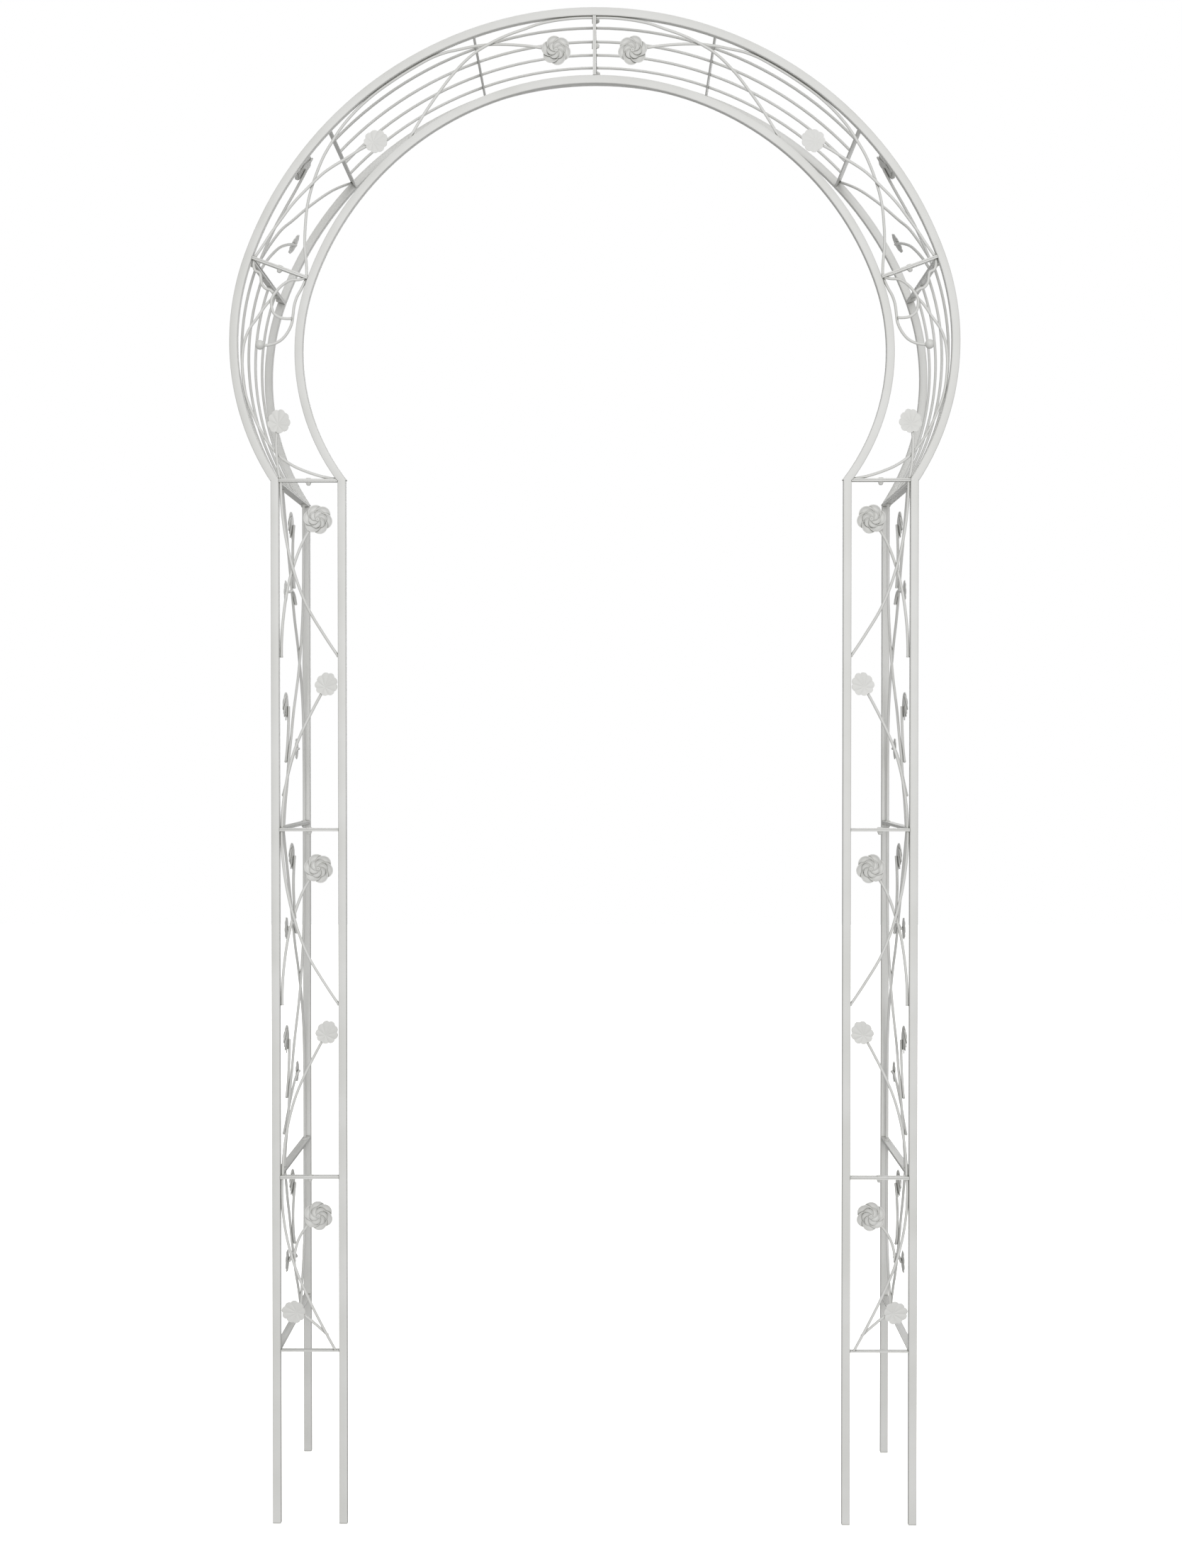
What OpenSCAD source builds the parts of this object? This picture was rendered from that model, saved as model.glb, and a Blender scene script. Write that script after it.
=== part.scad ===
// A garden arch of white powder-coated steel. Ten welded sections bolt together: three leg
// sections, a shoulder and half of the crown on each side. Each section has a front ladder of two
// square rails and one rail at the back behind the outer one, joined by flat bars and filled with
// wires and with a vine of bent rod that carries pressed roses and leaves.

/* [Overall size] */
// Clear width of the walkway between the legs
walkway_width = 786; // [600:2:960]
// Width of one leg's front ladder, over its two rails
ladder_width = 119; // [96:1:150]
// Depth of the arch, over its front and back rails
arch_depth = 383; // [300:1:470]
// Height of one leg section; three of them reach the elbow
leg_section = 552.5; // [450:0.5:670]
// Height of the crown's centre above the elbow
crown_rise = 154.5; // [120:0.5:190]
// How far the crown's outer rail would stand out past the legs, level with its centre
crown_overhang = 76; // [50:1:95]
// Angle from the top of the crown down to a shoulder joint
shoulder_angle = 70; // [64:1:74]

/* [Rails and bars] */
// Side of the square tube that every rail is cut from
tube_width = 13; // [10:0.5:16]
// Wall of the square tube
tube_wall = 1; // [0.8:0.1:1.5]
// Thickness of the flat bars
bar_thickness = 2.3; // [2:0.1:3]
// Gap between the two bars of a joint, filled by their paint
joint_gap = 0.2; // [0.1:0.05:0.5]
// Height of the single bars in the lowest leg sections
foot_bar_height = 276; // [220:1:335]
// Angle from the top to the first depth bar of the crown
first_bar_angle = 19.2; // [15:0.1:24]
// Angle from the top to the second depth bar of the crown
second_bar_angle = 46.3; // [42:0.1:50]

/* [Wires and vine] */
// Diameter of the wires between the outer rails
wire_diameter = 4.5; // [3.5:0.1:6]
// Number of wires side by side
wire_count = 4; // [2:1:6]
// Diameter of the vine's bent rod
rod_diameter = 4.5; // [3.5:0.1:5.4]
// Gap between two rods where one crosses the other
rod_gap = 0.1; // [0.05:0.05:0.3]
// Diameter of a rose
rose_diameter = 46; // [38:1:52]
// Thickness of a rose, from its back to the button at its centre
rose_depth = 6.5; // [5:0.5:7.5]
// Length of a leaf
leaf_length = 36; // [30:1:40]
// Thickness of a leaf
leaf_thickness = 1.6; // [1:0.1:2]
// Diameter of the ball at the end of a scroll
ball_diameter = 15; // [12:0.5:18]

/* [Fasteners] */
// Thread diameter of the bolts
bolt_diameter = 5; // [4:0.5:6]
// Gap all round a bolt in its hole through the bars
bolt_clearance = 0.25; // [0.1:0.05:0.4]
// Width across the flats of the bolt heads and cap nuts
nut_width = 8; // [7:0.5:10]
// Height of a bolt head
head_height = 1.6; // [1:0.1:3]
// Height of a cap nut's hexagon
nut_height = 2.4; // [2:0.1:4]
// Height of a cap nut's closed cap
cap_height = 3.1; // [2.5:0.1:4]

/* [Hidden] */
SIDES = ["left", "right"];
LEGS = ["lower_leg", "middle_leg", "upper_leg"];
SECTIONS = concat(LEGS, ["shoulder", "crown"]);
RAILS = ["outer_rail", "inner_rail", "back_rail"];
BARS = ["crown_joint_bars", "shoulder_joint_bars", "elbow_joint_bars", "upper_leg_joint_bars",
        "lower_leg_joint_bars", "crown_cross_bars", "foot_cross_bars"];

$fn = 64;
PAINT = [0.93, 0.93, 0.92];
ZINC = [0.86, 0.86, 0.85];

// Centre lines of the rails. The left half is modelled at -X and mirrored for the right.
outer_x = walkway_width / 2 + ladder_width - tube_width / 2;
inner_x = walkway_width / 2 + tube_width / 2;
rail_gap = outer_x - inner_x;
front_y = tube_width / 2;
back_y = arch_depth - tube_width / 2;
bay_depth = arch_depth - 2 * tube_width;
elbow_z = len(LEGS) * leg_section;
crown_z = elbow_z + crown_rise;
bar_face = joint_gap / 2 + bar_thickness;
crown_centre = [0, crown_z];
outer_crown_r = walkway_width / 2 + ladder_width + crown_overhang - tube_width / 2;
inner_crown_r = outer_crown_r - rail_gap;

// A shoulder rail leaves the crown in line with it and reaches the elbow on one arc.
// Each arc is [radius, centre, angle at the crown, angle at the elbow].
up_rail = [cos(shoulder_angle), sin(shoulder_angle)];
to_centre = [sin(shoulder_angle), -cos(shoulder_angle)];
function shoulder_joint(crown_r) = crown_centre - crown_r * to_centre;
function shoulder_arc(crown_r, leg_x) =
    let (joint = shoulder_joint(crown_r), elbow = [-leg_x, elbow_z], span = elbow - joint,
         r = (span * span) / (2 * to_centre * span), centre = joint + r * to_centre,
         last = atan2(elbow.y - centre.y, elbow.x - centre.x))
    [r, centre, 90 + shoulder_angle, last < 0 ? last + 360 : last];
outer_shoulder = shoulder_arc(outer_crown_r, outer_x);
inner_shoulder = shoulder_arc(inner_crown_r, inner_x);
function level(height, arc, offset) =
    arc[1].x - sqrt((arc[0] + offset) ^ 2 - (height - arc[1].y) ^ 2);

wire_pitch = bay_depth / (wire_count + 1);
function wire_y(i) = tube_width + i * wire_pitch;
bolt_depths = [tube_width + wire_pitch / 2, arch_depth - tube_width - wire_pitch / 2];

// ---- Places -------------------------------------------------------------------------------
// In each of these, the origin is on the outer rail's centre line at the front face, X points
// at the inner rail, Y to the back and Z up the rail, towards the crown.
module on_leg(height) translate([-outer_x, 0, height]) children();
module on_crown(angle)
    translate([-outer_crown_r * sin(angle), 0, crown_z + outer_crown_r * cos(angle)])
        rotate([0, 90 - angle, 0]) children();
module both_sides() {
    children();
    mirror([1, 0, 0]) children();
}
module on_side(side) mirror([side == "right" ? 1 : 0, 0, 0]) children();

// ---- Rails --------------------------------------------------------------------------------
module tube_profile() difference() {
    square(tube_width, center = true);
    square(tube_width - 2 * tube_wall, center = true);
}
module straight_tube(x, y, z) translate([x, y, z]) linear_extrude(leg_section) tube_profile();
module arc_tube(centre, r, first, last, y)
    translate([centre.x, 0, centre.y]) rotate([90, 0, 0]) rotate([0, 0, first])
        rotate_extrude(angle = last - first, $fn = 180) translate([r, -y]) tube_profile();
// The arc runs a little past the elbow and is cut off level there.
module shoulder_tube(arc, y) intersection() {
    arc_tube(arc[1], arc[0], arc[2], arc[3] + 4, y);
    translate([-2 * outer_x, 0, elbow_z]) cube([2 * outer_x, arch_depth, crown_z]);
}
module rail_piece(section, rail) color(PAINT) {
    inner = rail == "inner_rail";
    y = rail == "back_rail" ? back_y : front_y;
    if (section == "crown")
        arc_tube(crown_centre, inner ? inner_crown_r : outer_crown_r, 90, 90 + shoulder_angle, y);
    else if (section == "shoulder")
        shoulder_tube(inner ? inner_shoulder : outer_shoulder, y);
    else
        straight_tube(inner ? -inner_x : -outer_x, y, leg_section * search([section], LEGS)[0]);
}

// ---- Flat bars ----------------------------------------------------------------------------
module bolt_hole() cylinder(d = bolt_diameter + 2 * bolt_clearance, h = 3 * bar_face, center = true);
module at_bolts() {
    translate([rail_gap / 2, front_y, 0]) children();
    for (y = bolt_depths) translate([0, y, 0]) children();
}
module ladder_bar() translate([tube_width / 2, 0, 0]) cube([rail_gap - tube_width, tube_width, bar_thickness]);
module depth_bar() translate([-tube_width / 2, tube_width, 0]) cube([tube_width, bay_depth, bar_thickness]);
// The two bars that end one section: one across its ladder and one from front to back.
module end_bars() difference() {
    translate([0, 0, joint_gap / 2]) {
        ladder_bar();
        depth_bar();
    }
    at_bolts() bolt_hole();
}
module joint_bars() {
    end_bars();
    mirror([0, 0, 1]) end_bars();
}
// Above the elbow the rails lean out, so the ladder bar's ends are cut to their slope,
// and it stops short of the depth bar.
module elbow_ladder_bar() {
    low = elbow_z + joint_gap / 2;
    high = elbow_z + bar_face;
    translate([outer_x, 0, -elbow_z]) rotate([90, 0, 0]) translate([0, 0, joint_gap - tube_width])
        linear_extrude(tube_width - joint_gap) polygon([
            for (z = [low, high]) [level(z, outer_shoulder, -tube_width / 2), z],
            for (z = [high, low]) [level(z, inner_shoulder, tube_width / 2), z]]);
}
module elbow_bars() {
    mirror([0, 0, 1]) end_bars();
    difference() {
        elbow_ladder_bar();
        at_bolts() bolt_hole();
    }
    difference() {
        translate([0, 0, joint_gap / 2]) depth_bar();
        at_bolts() bolt_hole();
    }
}
module foot_bars() translate([0, 0, -bar_thickness / 2]) {
    ladder_bar();
    depth_bar();
}
module bars(name) color(PAINT) {
    if (name == "crown_joint_bars") on_crown(0) joint_bars();
    if (name == "shoulder_joint_bars") both_sides() on_crown(shoulder_angle) joint_bars();
    if (name == "elbow_joint_bars") both_sides() on_leg(elbow_z) elbow_bars();
    if (name == "upper_leg_joint_bars") both_sides() on_leg(2 * leg_section) joint_bars();
    if (name == "lower_leg_joint_bars") both_sides() on_leg(leg_section) joint_bars();
    if (name == "crown_cross_bars") both_sides() for (angle = [first_bar_angle, second_bar_angle])
        on_crown(angle) translate([0, 0, -bar_thickness / 2]) depth_bar();
    if (name == "foot_cross_bars") both_sides() on_leg(foot_bar_height) foot_bars();
}

// ---- Wires --------------------------------------------------------------------------------
module wire(centre, r, first, last, y)
    translate([centre.x, 0, centre.y]) rotate([90, 0, 0]) rotate([0, 0, first])
        rotate_extrude(angle = last - first, $fn = 180) translate([r, -y]) circle(d = wire_diameter, $fn = 24);
module crown_wires() color(PAINT) {
    half_bar = asin(bar_thickness / 2 / outer_crown_r);
    bays = [[asin(bar_face / outer_crown_r), first_bar_angle - half_bar], [first_bar_angle + half_bar, second_bar_angle - half_bar]];
    both_sides() for (i = [1 : wire_count], bay = bays)
        wire(crown_centre, outer_crown_r, 90 + bay[0], 90 + bay[1], wire_y(i));
}
module shoulder_wires() color(PAINT) both_sides() intersection() {
    for (i = [1 : wire_count])
        wire(outer_shoulder[1], outer_shoulder[0], outer_shoulder[2] + asin(bar_face / outer_shoulder[0]),
             outer_shoulder[3] + 4, wire_y(i));
    translate([-2 * outer_x, 0, elbow_z + bar_face]) cube([2 * outer_x, arch_depth, crown_z]);
}

// ---- Vine rods ----------------------------------------------------------------------------
// A rod is bent through a few points of its panel's drawing grid. Across a ladder the grid is 100
// wide, from the outer rail's face to the inner rail's; from front to back it is 360 wide. Up a
// leg it is 500 high, or 250 above the foot bar. The crown's runs 700 from its top to the shoulder
// joint, and the shoulder's 300 from there to the elbow.
function unit(v) = v / norm(v);
function lerp(a, b, k) = a + (b - a) * k;
function grid_leg(g, base, height, rows) =
    [-outer_x + tube_width / 2 + g.x / 100 * (rail_gap - tube_width), base + g.y / rows * height];
function grid_side(g, base, height, rows) = [tube_width + g.x / 360 * bay_depth, base + g.y / rows * height];
function polar(centre, r, angle) = centre + r * [cos(angle), sin(angle)];
function grid_crown(g) = polar(crown_centre, outer_crown_r - tube_width / 2 - g.x / 100 * (rail_gap - tube_width),
                               90 + g.y / 700 * shoulder_angle);
function arc_point(arc, offset, k) = polar(arc[1], arc[0] + offset, lerp(arc[2], arc[3], k));
function grid_shoulder(g) = lerp(arc_point(outer_shoulder, -tube_width / 2, g.y / 300),
                                 arc_point(inner_shoulder, tube_width / 2, g.y / 300), g.x / 100);
function grid_outside(g) = [tube_width + g.x / 360 * bay_depth, g.y / 700 * shoulder_angle];

// Heading of the curve at each point: that of the circle through it and its two neighbours.
function inner_heading(p, i) =
    let (a = p[i] - p[i - 1], b = p[i + 1] - p[i]) unit(unit(a) * norm(b) + unit(b) * norm(a));
function end_heading(next, chord) = 2 * (next * unit(chord)) * unit(chord) - next;
function heading(p, i) =
    i == 0 ? end_heading(inner_heading(p, 1), p[1] - p[0]) :
    i == len(p) - 1 ? end_heading(inner_heading(p, i - 1), p[i] - p[i - 1]) : inner_heading(p, i);
bend_step = 6;
function turn(a, b) = acos(min(1, a * b));
function steps(chord, a, b) =
    max(1, min(ceil(2 * max(turn(a, unit(chord)), turn(b, unit(chord))) / bend_step), ceil(norm(chord) / 8)));
function on_span(a, b, ta, tb, k) =
    let (l = norm(b - a)) (2 * k ^ 3 - 3 * k ^ 2 + 1) * a + (k ^ 3 - 2 * k ^ 2 + k) * l * ta
        + (3 * k ^ 2 - 2 * k ^ 3) * b + (k ^ 3 - k ^ 2) * l * tb;
function bent(p) = concat(
    [for (i = [0 : len(p) - 2])
        let (ta = heading(p, i), tb = heading(p, i + 1), n = steps(p[i + 1] - p[i], ta, tb))
        for (j = [0 : n - 1]) on_span(p[i], p[i + 1], ta, tb, j / n)],
    [p[len(p) - 1]]);

rod_sides = 8;
function ring(centre, along, across) =
    let (side = cross(along, across))
    [for (k = [0 : rod_sides - 1])
        centre + rod_diameter / 2 * (cos(360 * k / rod_sides) * across + sin(360 * k / rod_sides) * side)];
// A face is [a point on it, its normal]; a rod's end is cut to lie flat on it.
function cut(points, along, face) = is_undef(face) ? points :
    [for (q = points) q + along * (((face[0] - q) * face[1]) / (along * face[1]))];
function direction(path, i) = unit(path[min(i + 1, len(path) - 1)] - path[max(i - 1, 0)]);
module swept_rod(path, normals, first_face, last_face) {
    last = len(path) - 1;
    rings = [for (i = [0 : last])
        let (along = direction(path, i), across = unit(normals[i] - (normals[i] * along) * along))
        cut(ring(path[i], along, across), along, i == 0 ? first_face : i == last ? last_face : undef)];
    function at(i, k) = i * rod_sides + k % rod_sides;
    polyhedron([for (r = rings) each r], concat(
        [[for (k = [0 : rod_sides - 1]) k]],
        [for (i = [0 : last - 1], k = [0 : rod_sides - 1]) each [
            [at(i, k), at(i + 1, k), at(i, k + 1)], [at(i, k + 1), at(i + 1, k), at(i + 1, k + 1)]]],
        [[for (k = [rod_sides - 1 : -1 : 0]) at(last, k)]]));
}

// Rods lie in two layers, side by side where they cross: 0 is the outer layer, 1 the inner.
function layer_offset(layer) = (layer - 0.5) * (rod_diameter + rod_gap);
module front_rod(layer, flat, first_face, last_face) {
    y = front_y + layer_offset(layer);
    function upright(p) = [p.x, y, p.y];
    function face(f) = is_undef(f) ? undef : [upright(f[0]), [f[1].x, 0, f[1].y]];
    path = bent(flat);
    swept_rod([for (p = path) upright(p)], [for (p = path) [0, 1, 0]], face(first_face), face(last_face));
}
module side_rod(layer, flat, first_face, last_face) {
    x = -outer_x + layer_offset(layer);
    function upright(p) = [x, p.x, p.y];
    function face(f) = is_undef(f) ? undef : [upright(f[0]), [0, f[1].x, f[1].y]];
    path = bent(flat);
    swept_rod([for (p = path) upright(p)], [for (p = path) [1, 0, 0]], face(first_face), face(last_face));
}
// On the outside of the crown a rod also follows the curve: its flat points are [depth, degrees].
module outside_rod(layer, flat, first_face, last_face) {
    r = outer_crown_r - layer_offset(layer);
    degree = outer_crown_r * PI / 180;
    path = [for (p = bent([for (p = flat) [p.x, p.y * degree]])) [p.x, p.y / degree]];
    swept_rod([for (p = path) [-r * sin(p.y), p.x, crown_z + r * cos(p.y)]],
              [for (p = path) [-sin(p.y), 0, cos(p.y)]], first_face, last_face);
}

// ---- Vines --------------------------------------------------------------------------------
// A panel's sprig is [kind, layer, place, heading]; its rods are [layer, points, first face, last
// face]. Roses stand on the front of their rod's layer, leaves lie flat on it.
function leg_base(i) = i == 0 ? foot_bar_height + bar_thickness / 2 : i * leg_section + bar_face;
function leg_top(i) = (i + 1) * leg_section - bar_face;
function leg_rows(i) = i == 0 ? 250 : 500;
function leg_points(i, points) =
    [for (g = points) grid_leg(g, leg_base(i), leg_top(i) - leg_base(i), leg_rows(i))];
function side_points(i, points) =
    [for (g = points) grid_side(g, leg_base(i), leg_top(i) - leg_base(i), leg_rows(i))];
function top_face(i) = [[0, leg_top(i)], [0, 1]];
function base_face(i) = [[0, leg_base(i)], [0, 1]];
inner_rail_face = [[-inner_x - tube_width / 2, 0], [1, 0]];

// Rods of a leg's ladder: a long bend from the top bar to the inner rail, a rose's stem and a
// leaf's stem.
LOW_BEND = [[3, 250], [5, 194], [23, 125], [47, 76], [74, 30], [93, 0]];
LOW_ROSE = [[23, 129], [31, 162], [48, 183], [65, 196]];
LOW_LEAF = [[79, 21], [58, 37], [40, 49], [22, 55]];
HIGH_BEND = [[3, 500], [10, 427], [23, 377], [49, 318], [75, 281], [100, 249]];
HIGH_ROSE = [[3, 248], [6, 303], [23, 377], [50, 429], [66, 446]];
HIGH_LEAF = [[3, 0], [6, 39], [23, 108], [59, 176], [80, 208]];
function ladder_rods(i) = i == 0 ?
    [[0, leg_points(i, LOW_BEND), top_face(i), base_face(i)],
     [1, leg_points(i, LOW_ROSE)],
     [1, leg_points(i, LOW_LEAF)]] :
    [[0, leg_points(i, HIGH_BEND), top_face(i), inner_rail_face],
     [1, leg_points(i, HIGH_ROSE)],
     [1, leg_points(i, HIGH_LEAF), base_face(i)]];

// Rods of a leg's side: two long bends that cross, then the stems of its roses and leaves.
LOW_SIDE_BEND_1 = [[99, 250], [112, 230], [136, 190], [155, 165], [171, 140], [188, 115], [230, 62],
                   [260, 33], [288, 0]];
LOW_SIDE_BEND_2 = [[311, 250], [310, 193], [308, 113], [294, 71], [272, 31], [258, 0]];
LOW_SIDE_ROSE = [[186, 118], [173, 132], [166, 152], [169, 180], [192, 209]];
LOW_SIDE_LEAF = [[205, 93], [175, 104], [147, 107], [121, 103]];
SIDE_BEND_1 = [[92, 500], [113, 471], [143, 432], [174, 391], [204, 350], [236, 310], [263, 284],
               [293, 249], [314, 220], [329, 192], [339, 160], [344, 120], [347, 70], [347, 0]];
SIDE_BEND_2 = [[67, 0], [86, 37], [105, 62], [121, 92], [154, 132], [189, 176], [212, 198], [237, 222],
               [259, 248], [279, 280], [296, 315], [306, 350], [311, 400], [312, 500]];
SIDE_ROSE_1 = [[196, 361], [184, 385], [178, 410], [182, 434], [194, 455]];
SIDE_LEAF_1 = [[214, 337], [190, 351], [165, 354], [140, 351], [120, 350]];
SIDE_ROSE_2 = [[124, 96], [141, 116], [151, 137], [157, 158], [159, 179]];
SIDE_LEAF_2 = [[93, 46], [125, 62], [158, 80], [190, 95], [225, 108], [255, 114], [280, 115]];
function side_rods(i) = i == 0 ?
    [[0, side_points(i, LOW_SIDE_BEND_1), top_face(i), base_face(i)],
     [1, side_points(i, LOW_SIDE_BEND_2), top_face(i), base_face(i)],
     [1, side_points(i, LOW_SIDE_ROSE)],
     [1, side_points(i, LOW_SIDE_LEAF)]] :
    [[0, side_points(i, SIDE_BEND_1), top_face(i), base_face(i)],
     [1, side_points(i, SIDE_BEND_2), base_face(i), top_face(i)],
     [1, side_points(i, SIDE_ROSE_1)],
     [1, side_points(i, SIDE_LEAF_1)],
     [0, side_points(i, SIDE_ROSE_2)],
     [0, side_points(i, SIDE_LEAF_2)]];

CROWN_BEND = [[3, 0], [3, 43], [4, 66], [6, 89], [10, 112], [13, 136], [17, 161], [21, 180],
              [25, 197], [44, 245], [62, 283], [78, 319], [92, 352], [100, 371]];
CROWN_ROSE = [[97, 699], [91, 682], [74, 648], [60, 617], [45, 583], [37, 561], [30, 539],
              [24, 519], [19, 501], [14, 476], [9, 451], [5, 418], [3, 379], [3, 340], [3, 300],
              [3, 262], [5, 243], [9, 224], [14, 196], [20, 170], [29, 140], [38, 111], [45, 90],
              [54, 66]];
CROWN_LEAF = [[3, 700], [9, 678], [14, 651], [19, 624], [23, 597], [31, 558], [39, 519], [45, 500],
              [51, 482], [60, 448], [68, 423]];
crown_top_face = [[-bar_face, 0], [1, 0]];
crown_foot_face = [shoulder_joint(outer_crown_r) + bar_face * up_rail, up_rail];
shoulder_top_face = [shoulder_joint(outer_crown_r) - bar_face * up_rail, up_rail];
shoulder_foot_face = [[0, elbow_z + bar_face], [0, 1]];
function crown_points(points) = [for (g = points) grid_crown(g)];
function face_round(point, centre) = [point, unit(point - centre)];
crown_rods = [
    [0, crown_points(CROWN_BEND), crown_top_face, face_round(grid_crown([100, 371]), crown_centre)],
    [1, crown_points(CROWN_ROSE), crown_foot_face],
    [0, crown_points(CROWN_LEAF), crown_foot_face]];

SHOULDER_WAVE = [[3, 2], [5, 8], [11, 14], [19, 15], [23, 20], [26, 26], [36, 32], [44, 32], [50, 34]];
SHOULDER_CURL = [[95, 2], [88, 6], [74, 11], [62, 22], [55, 33], [51, 43], [53, 53], [59, 61],
                 [69, 64], [81, 63], [89, 61]];
SHOULDER_SCROLL = [[97, 2], [95, 16], [91, 30], [90, 43], [91, 55], [91, 66], [85, 81], [75, 93],
                   [60, 102], [42, 107]];
SHOULDER_BEND = [[50, 43], [43, 52], [32, 71], [18, 92], [11, 109], [7, 128], [5, 146], [4, 184],
                 [8, 207], [11, 225], [18, 250], [25, 264], [40, 277], [59, 285], [82, 291], [100, 293]];
SHOULDER_LEAF = [[3, 299], [21, 263], [41, 226], [51, 211]];
function shoulder_points(points) = [for (g = points) grid_shoulder(g)];
shoulder_rods = [
    [1, shoulder_points(SHOULDER_WAVE), shoulder_top_face],
    [0, shoulder_points(SHOULDER_CURL), shoulder_top_face],
    [1, shoulder_points(SHOULDER_SCROLL), shoulder_top_face],
    [1, shoulder_points(SHOULDER_BEND), undef,
     face_round(grid_shoulder([100, 293]), inner_shoulder[1])],
    [0, shoulder_points(SHOULDER_LEAF), shoulder_foot_face]];

OUTSIDE_BEND = [[354, 463], [288, 500], [215, 560], [175, 595], [140, 620], [113, 654], [96, 679], [82, 700]];
OUTSIDE_LEAF = [[98, 700], [121, 675], [137, 662], [163, 645], [199, 631], [267, 615]];
OUTSIDE_ROSE = [[70, 700], [72, 680], [73, 655], [72, 626], [72, 590], [64, 555], [49, 530]];
function outside_points(points) = [for (g = points) grid_outside(g)];
function lifted(face) = [[face[0].x, 0, face[0].y], [face[1].x, 0, face[1].y]];
second_bar_face = [
    [-outer_crown_r * sin(second_bar_angle), 0, crown_z + outer_crown_r * cos(second_bar_angle)]
        - bar_thickness / 2 * [cos(second_bar_angle), 0, sin(second_bar_angle)],
    [cos(second_bar_angle), 0, sin(second_bar_angle)]];
outside_rods = [
    [0, outside_points(OUTSIDE_BEND), second_bar_face, lifted(crown_foot_face)],
    [1, outside_points(OUTSIDE_LEAF), lifted(crown_foot_face)],
    [1, outside_points(OUTSIDE_ROSE), lifted(crown_foot_face)]];

module vine(side, section) color(PAINT) on_side(side) {
    i = search([section], LEGS)[0];
    if (section == "crown") {
        for (rod = crown_rods) front_rod(rod[0], rod[1], rod[2], rod[3]);
        for (rod = outside_rods) outside_rod(rod[0], rod[1], rod[2], rod[3]);
    } else if (section == "shoulder") {
        for (rod = shoulder_rods) front_rod(rod[0], rod[1], rod[2], rod[3]);
    } else {
        for (rod = ladder_rods(i)) front_rod(rod[0], rod[1], rod[2], rod[3]);
        for (rod = side_rods(i)) side_rod(rod[0], rod[1], rod[2], rod[3]);
    }
}

// ---- Roses, leaves and balls --------------------------------------------------------------
// Both lie on Z = 0 and face up. A leaf points along X.
function scallops(lobes, low, high, step) =
    [for (t = [0 : step : 359]) (low + (high - low) * abs(cos(lobes / 2 * t))) * [cos(t), sin(t)]];
module rose() {
    linear_extrude(0.4 * rose_depth)
        polygon(rose_diameter * scallops(lobes = 6, low = 0.45, high = 0.5, step = 7.5));
    linear_extrude(0.75 * rose_depth) rotate([0, 0, 30])
        polygon(rose_diameter * scallops(lobes = 6, low = 0.25, high = 0.3, step = 10));
    cylinder(d = 0.1 * rose_diameter, h = rose_depth);
}
module leaf() linear_extrude(leaf_thickness)
    polygon(leaf_length * scallops(lobes = 9, low = 0.47, high = 0.53, step = 5));
function layer_front(layer) = rod_diameter / 2 - layer_offset(layer);
module front_sprig(rod) {
    last = len(rod[1]) - 1;
    end = rod[1][last];
    along = heading(rod[1], last);
    translate([end.x, front_y - layer_front(rod[0]), end.y]) rotate([90, 0, 0])
        rotate([0, 0, atan2(along.y, along.x)]) children();
}
module side_sprig(rod) {
    last = len(rod[1]) - 1;
    end = rod[1][last];
    along = heading(rod[1], last);
    translate([-outer_x - layer_front(rod[0]), end.x, end.y]) rotate([90, 0, -90])
        rotate([0, 0, atan2(along.y, -along.x)]) children();
}
module outside_sprig(rod) {
    last = len(rod[1]) - 1;
    end = rod[1][last];
    along = heading([for (p = rod[1]) [p.x, p.y * outer_crown_r * PI / 180]], last);
    r = outer_crown_r + layer_front(rod[0]);
    translate([-r * sin(end.y), end.x, crown_z + r * cos(end.y)]) rotate([0, -end.y, 0])
        rotate([0, 0, atan2(along.x, -along.y)]) children();
}
module front_roses() color(PAINT) both_sides() {
    for (i = [0 : len(LEGS) - 1]) front_sprig(ladder_rods(i)[1]) rose();
    front_sprig(crown_rods[1]) rose();
}
module side_roses() color(PAINT) both_sides() {
    for (i = [0 : len(LEGS) - 1]) side_sprig(side_rods(i)[2]) rose();
    for (i = [1 : len(LEGS) - 1]) side_sprig(side_rods(i)[4]) rose();
    outside_sprig(outside_rods[2]) rose();
}
module front_leaves() color(PAINT) both_sides() {
    for (i = [0 : len(LEGS) - 1]) front_sprig(ladder_rods(i)[2]) leaf();
    front_sprig(crown_rods[2]) leaf();
    front_sprig(shoulder_rods[4]) leaf();
}
module side_leaves() color(PAINT) both_sides() {
    for (i = [0 : len(LEGS) - 1]) side_sprig(side_rods(i)[3]) leaf();
    for (i = [1 : len(LEGS) - 1]) side_sprig(side_rods(i)[5]) leaf();
    outside_sprig(outside_rods[1]) leaf();
}
// The ball is drilled for the end of its rod.
ball_socket = 4;
socket_gap = 0.8;
module scroll_balls() color(PAINT) both_sides() {
    rod = shoulder_rods[2];
    last = len(rod[1]) - 1;
    end = rod[1][last];
    along = heading(rod[1], last);
    translate([end.x, front_y + layer_offset(rod[0]), end.y]) rotate([0, 90 - atan2(along.y, along.x), 0])
        difference() {
            translate([0, 0, ball_diameter / 2 - ball_socket]) sphere(d = ball_diameter);
            translate([0, 0, -2 * ball_socket]) cylinder(d = rod_diameter + socket_gap, h = 2 * ball_socket);
        }
}

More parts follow.
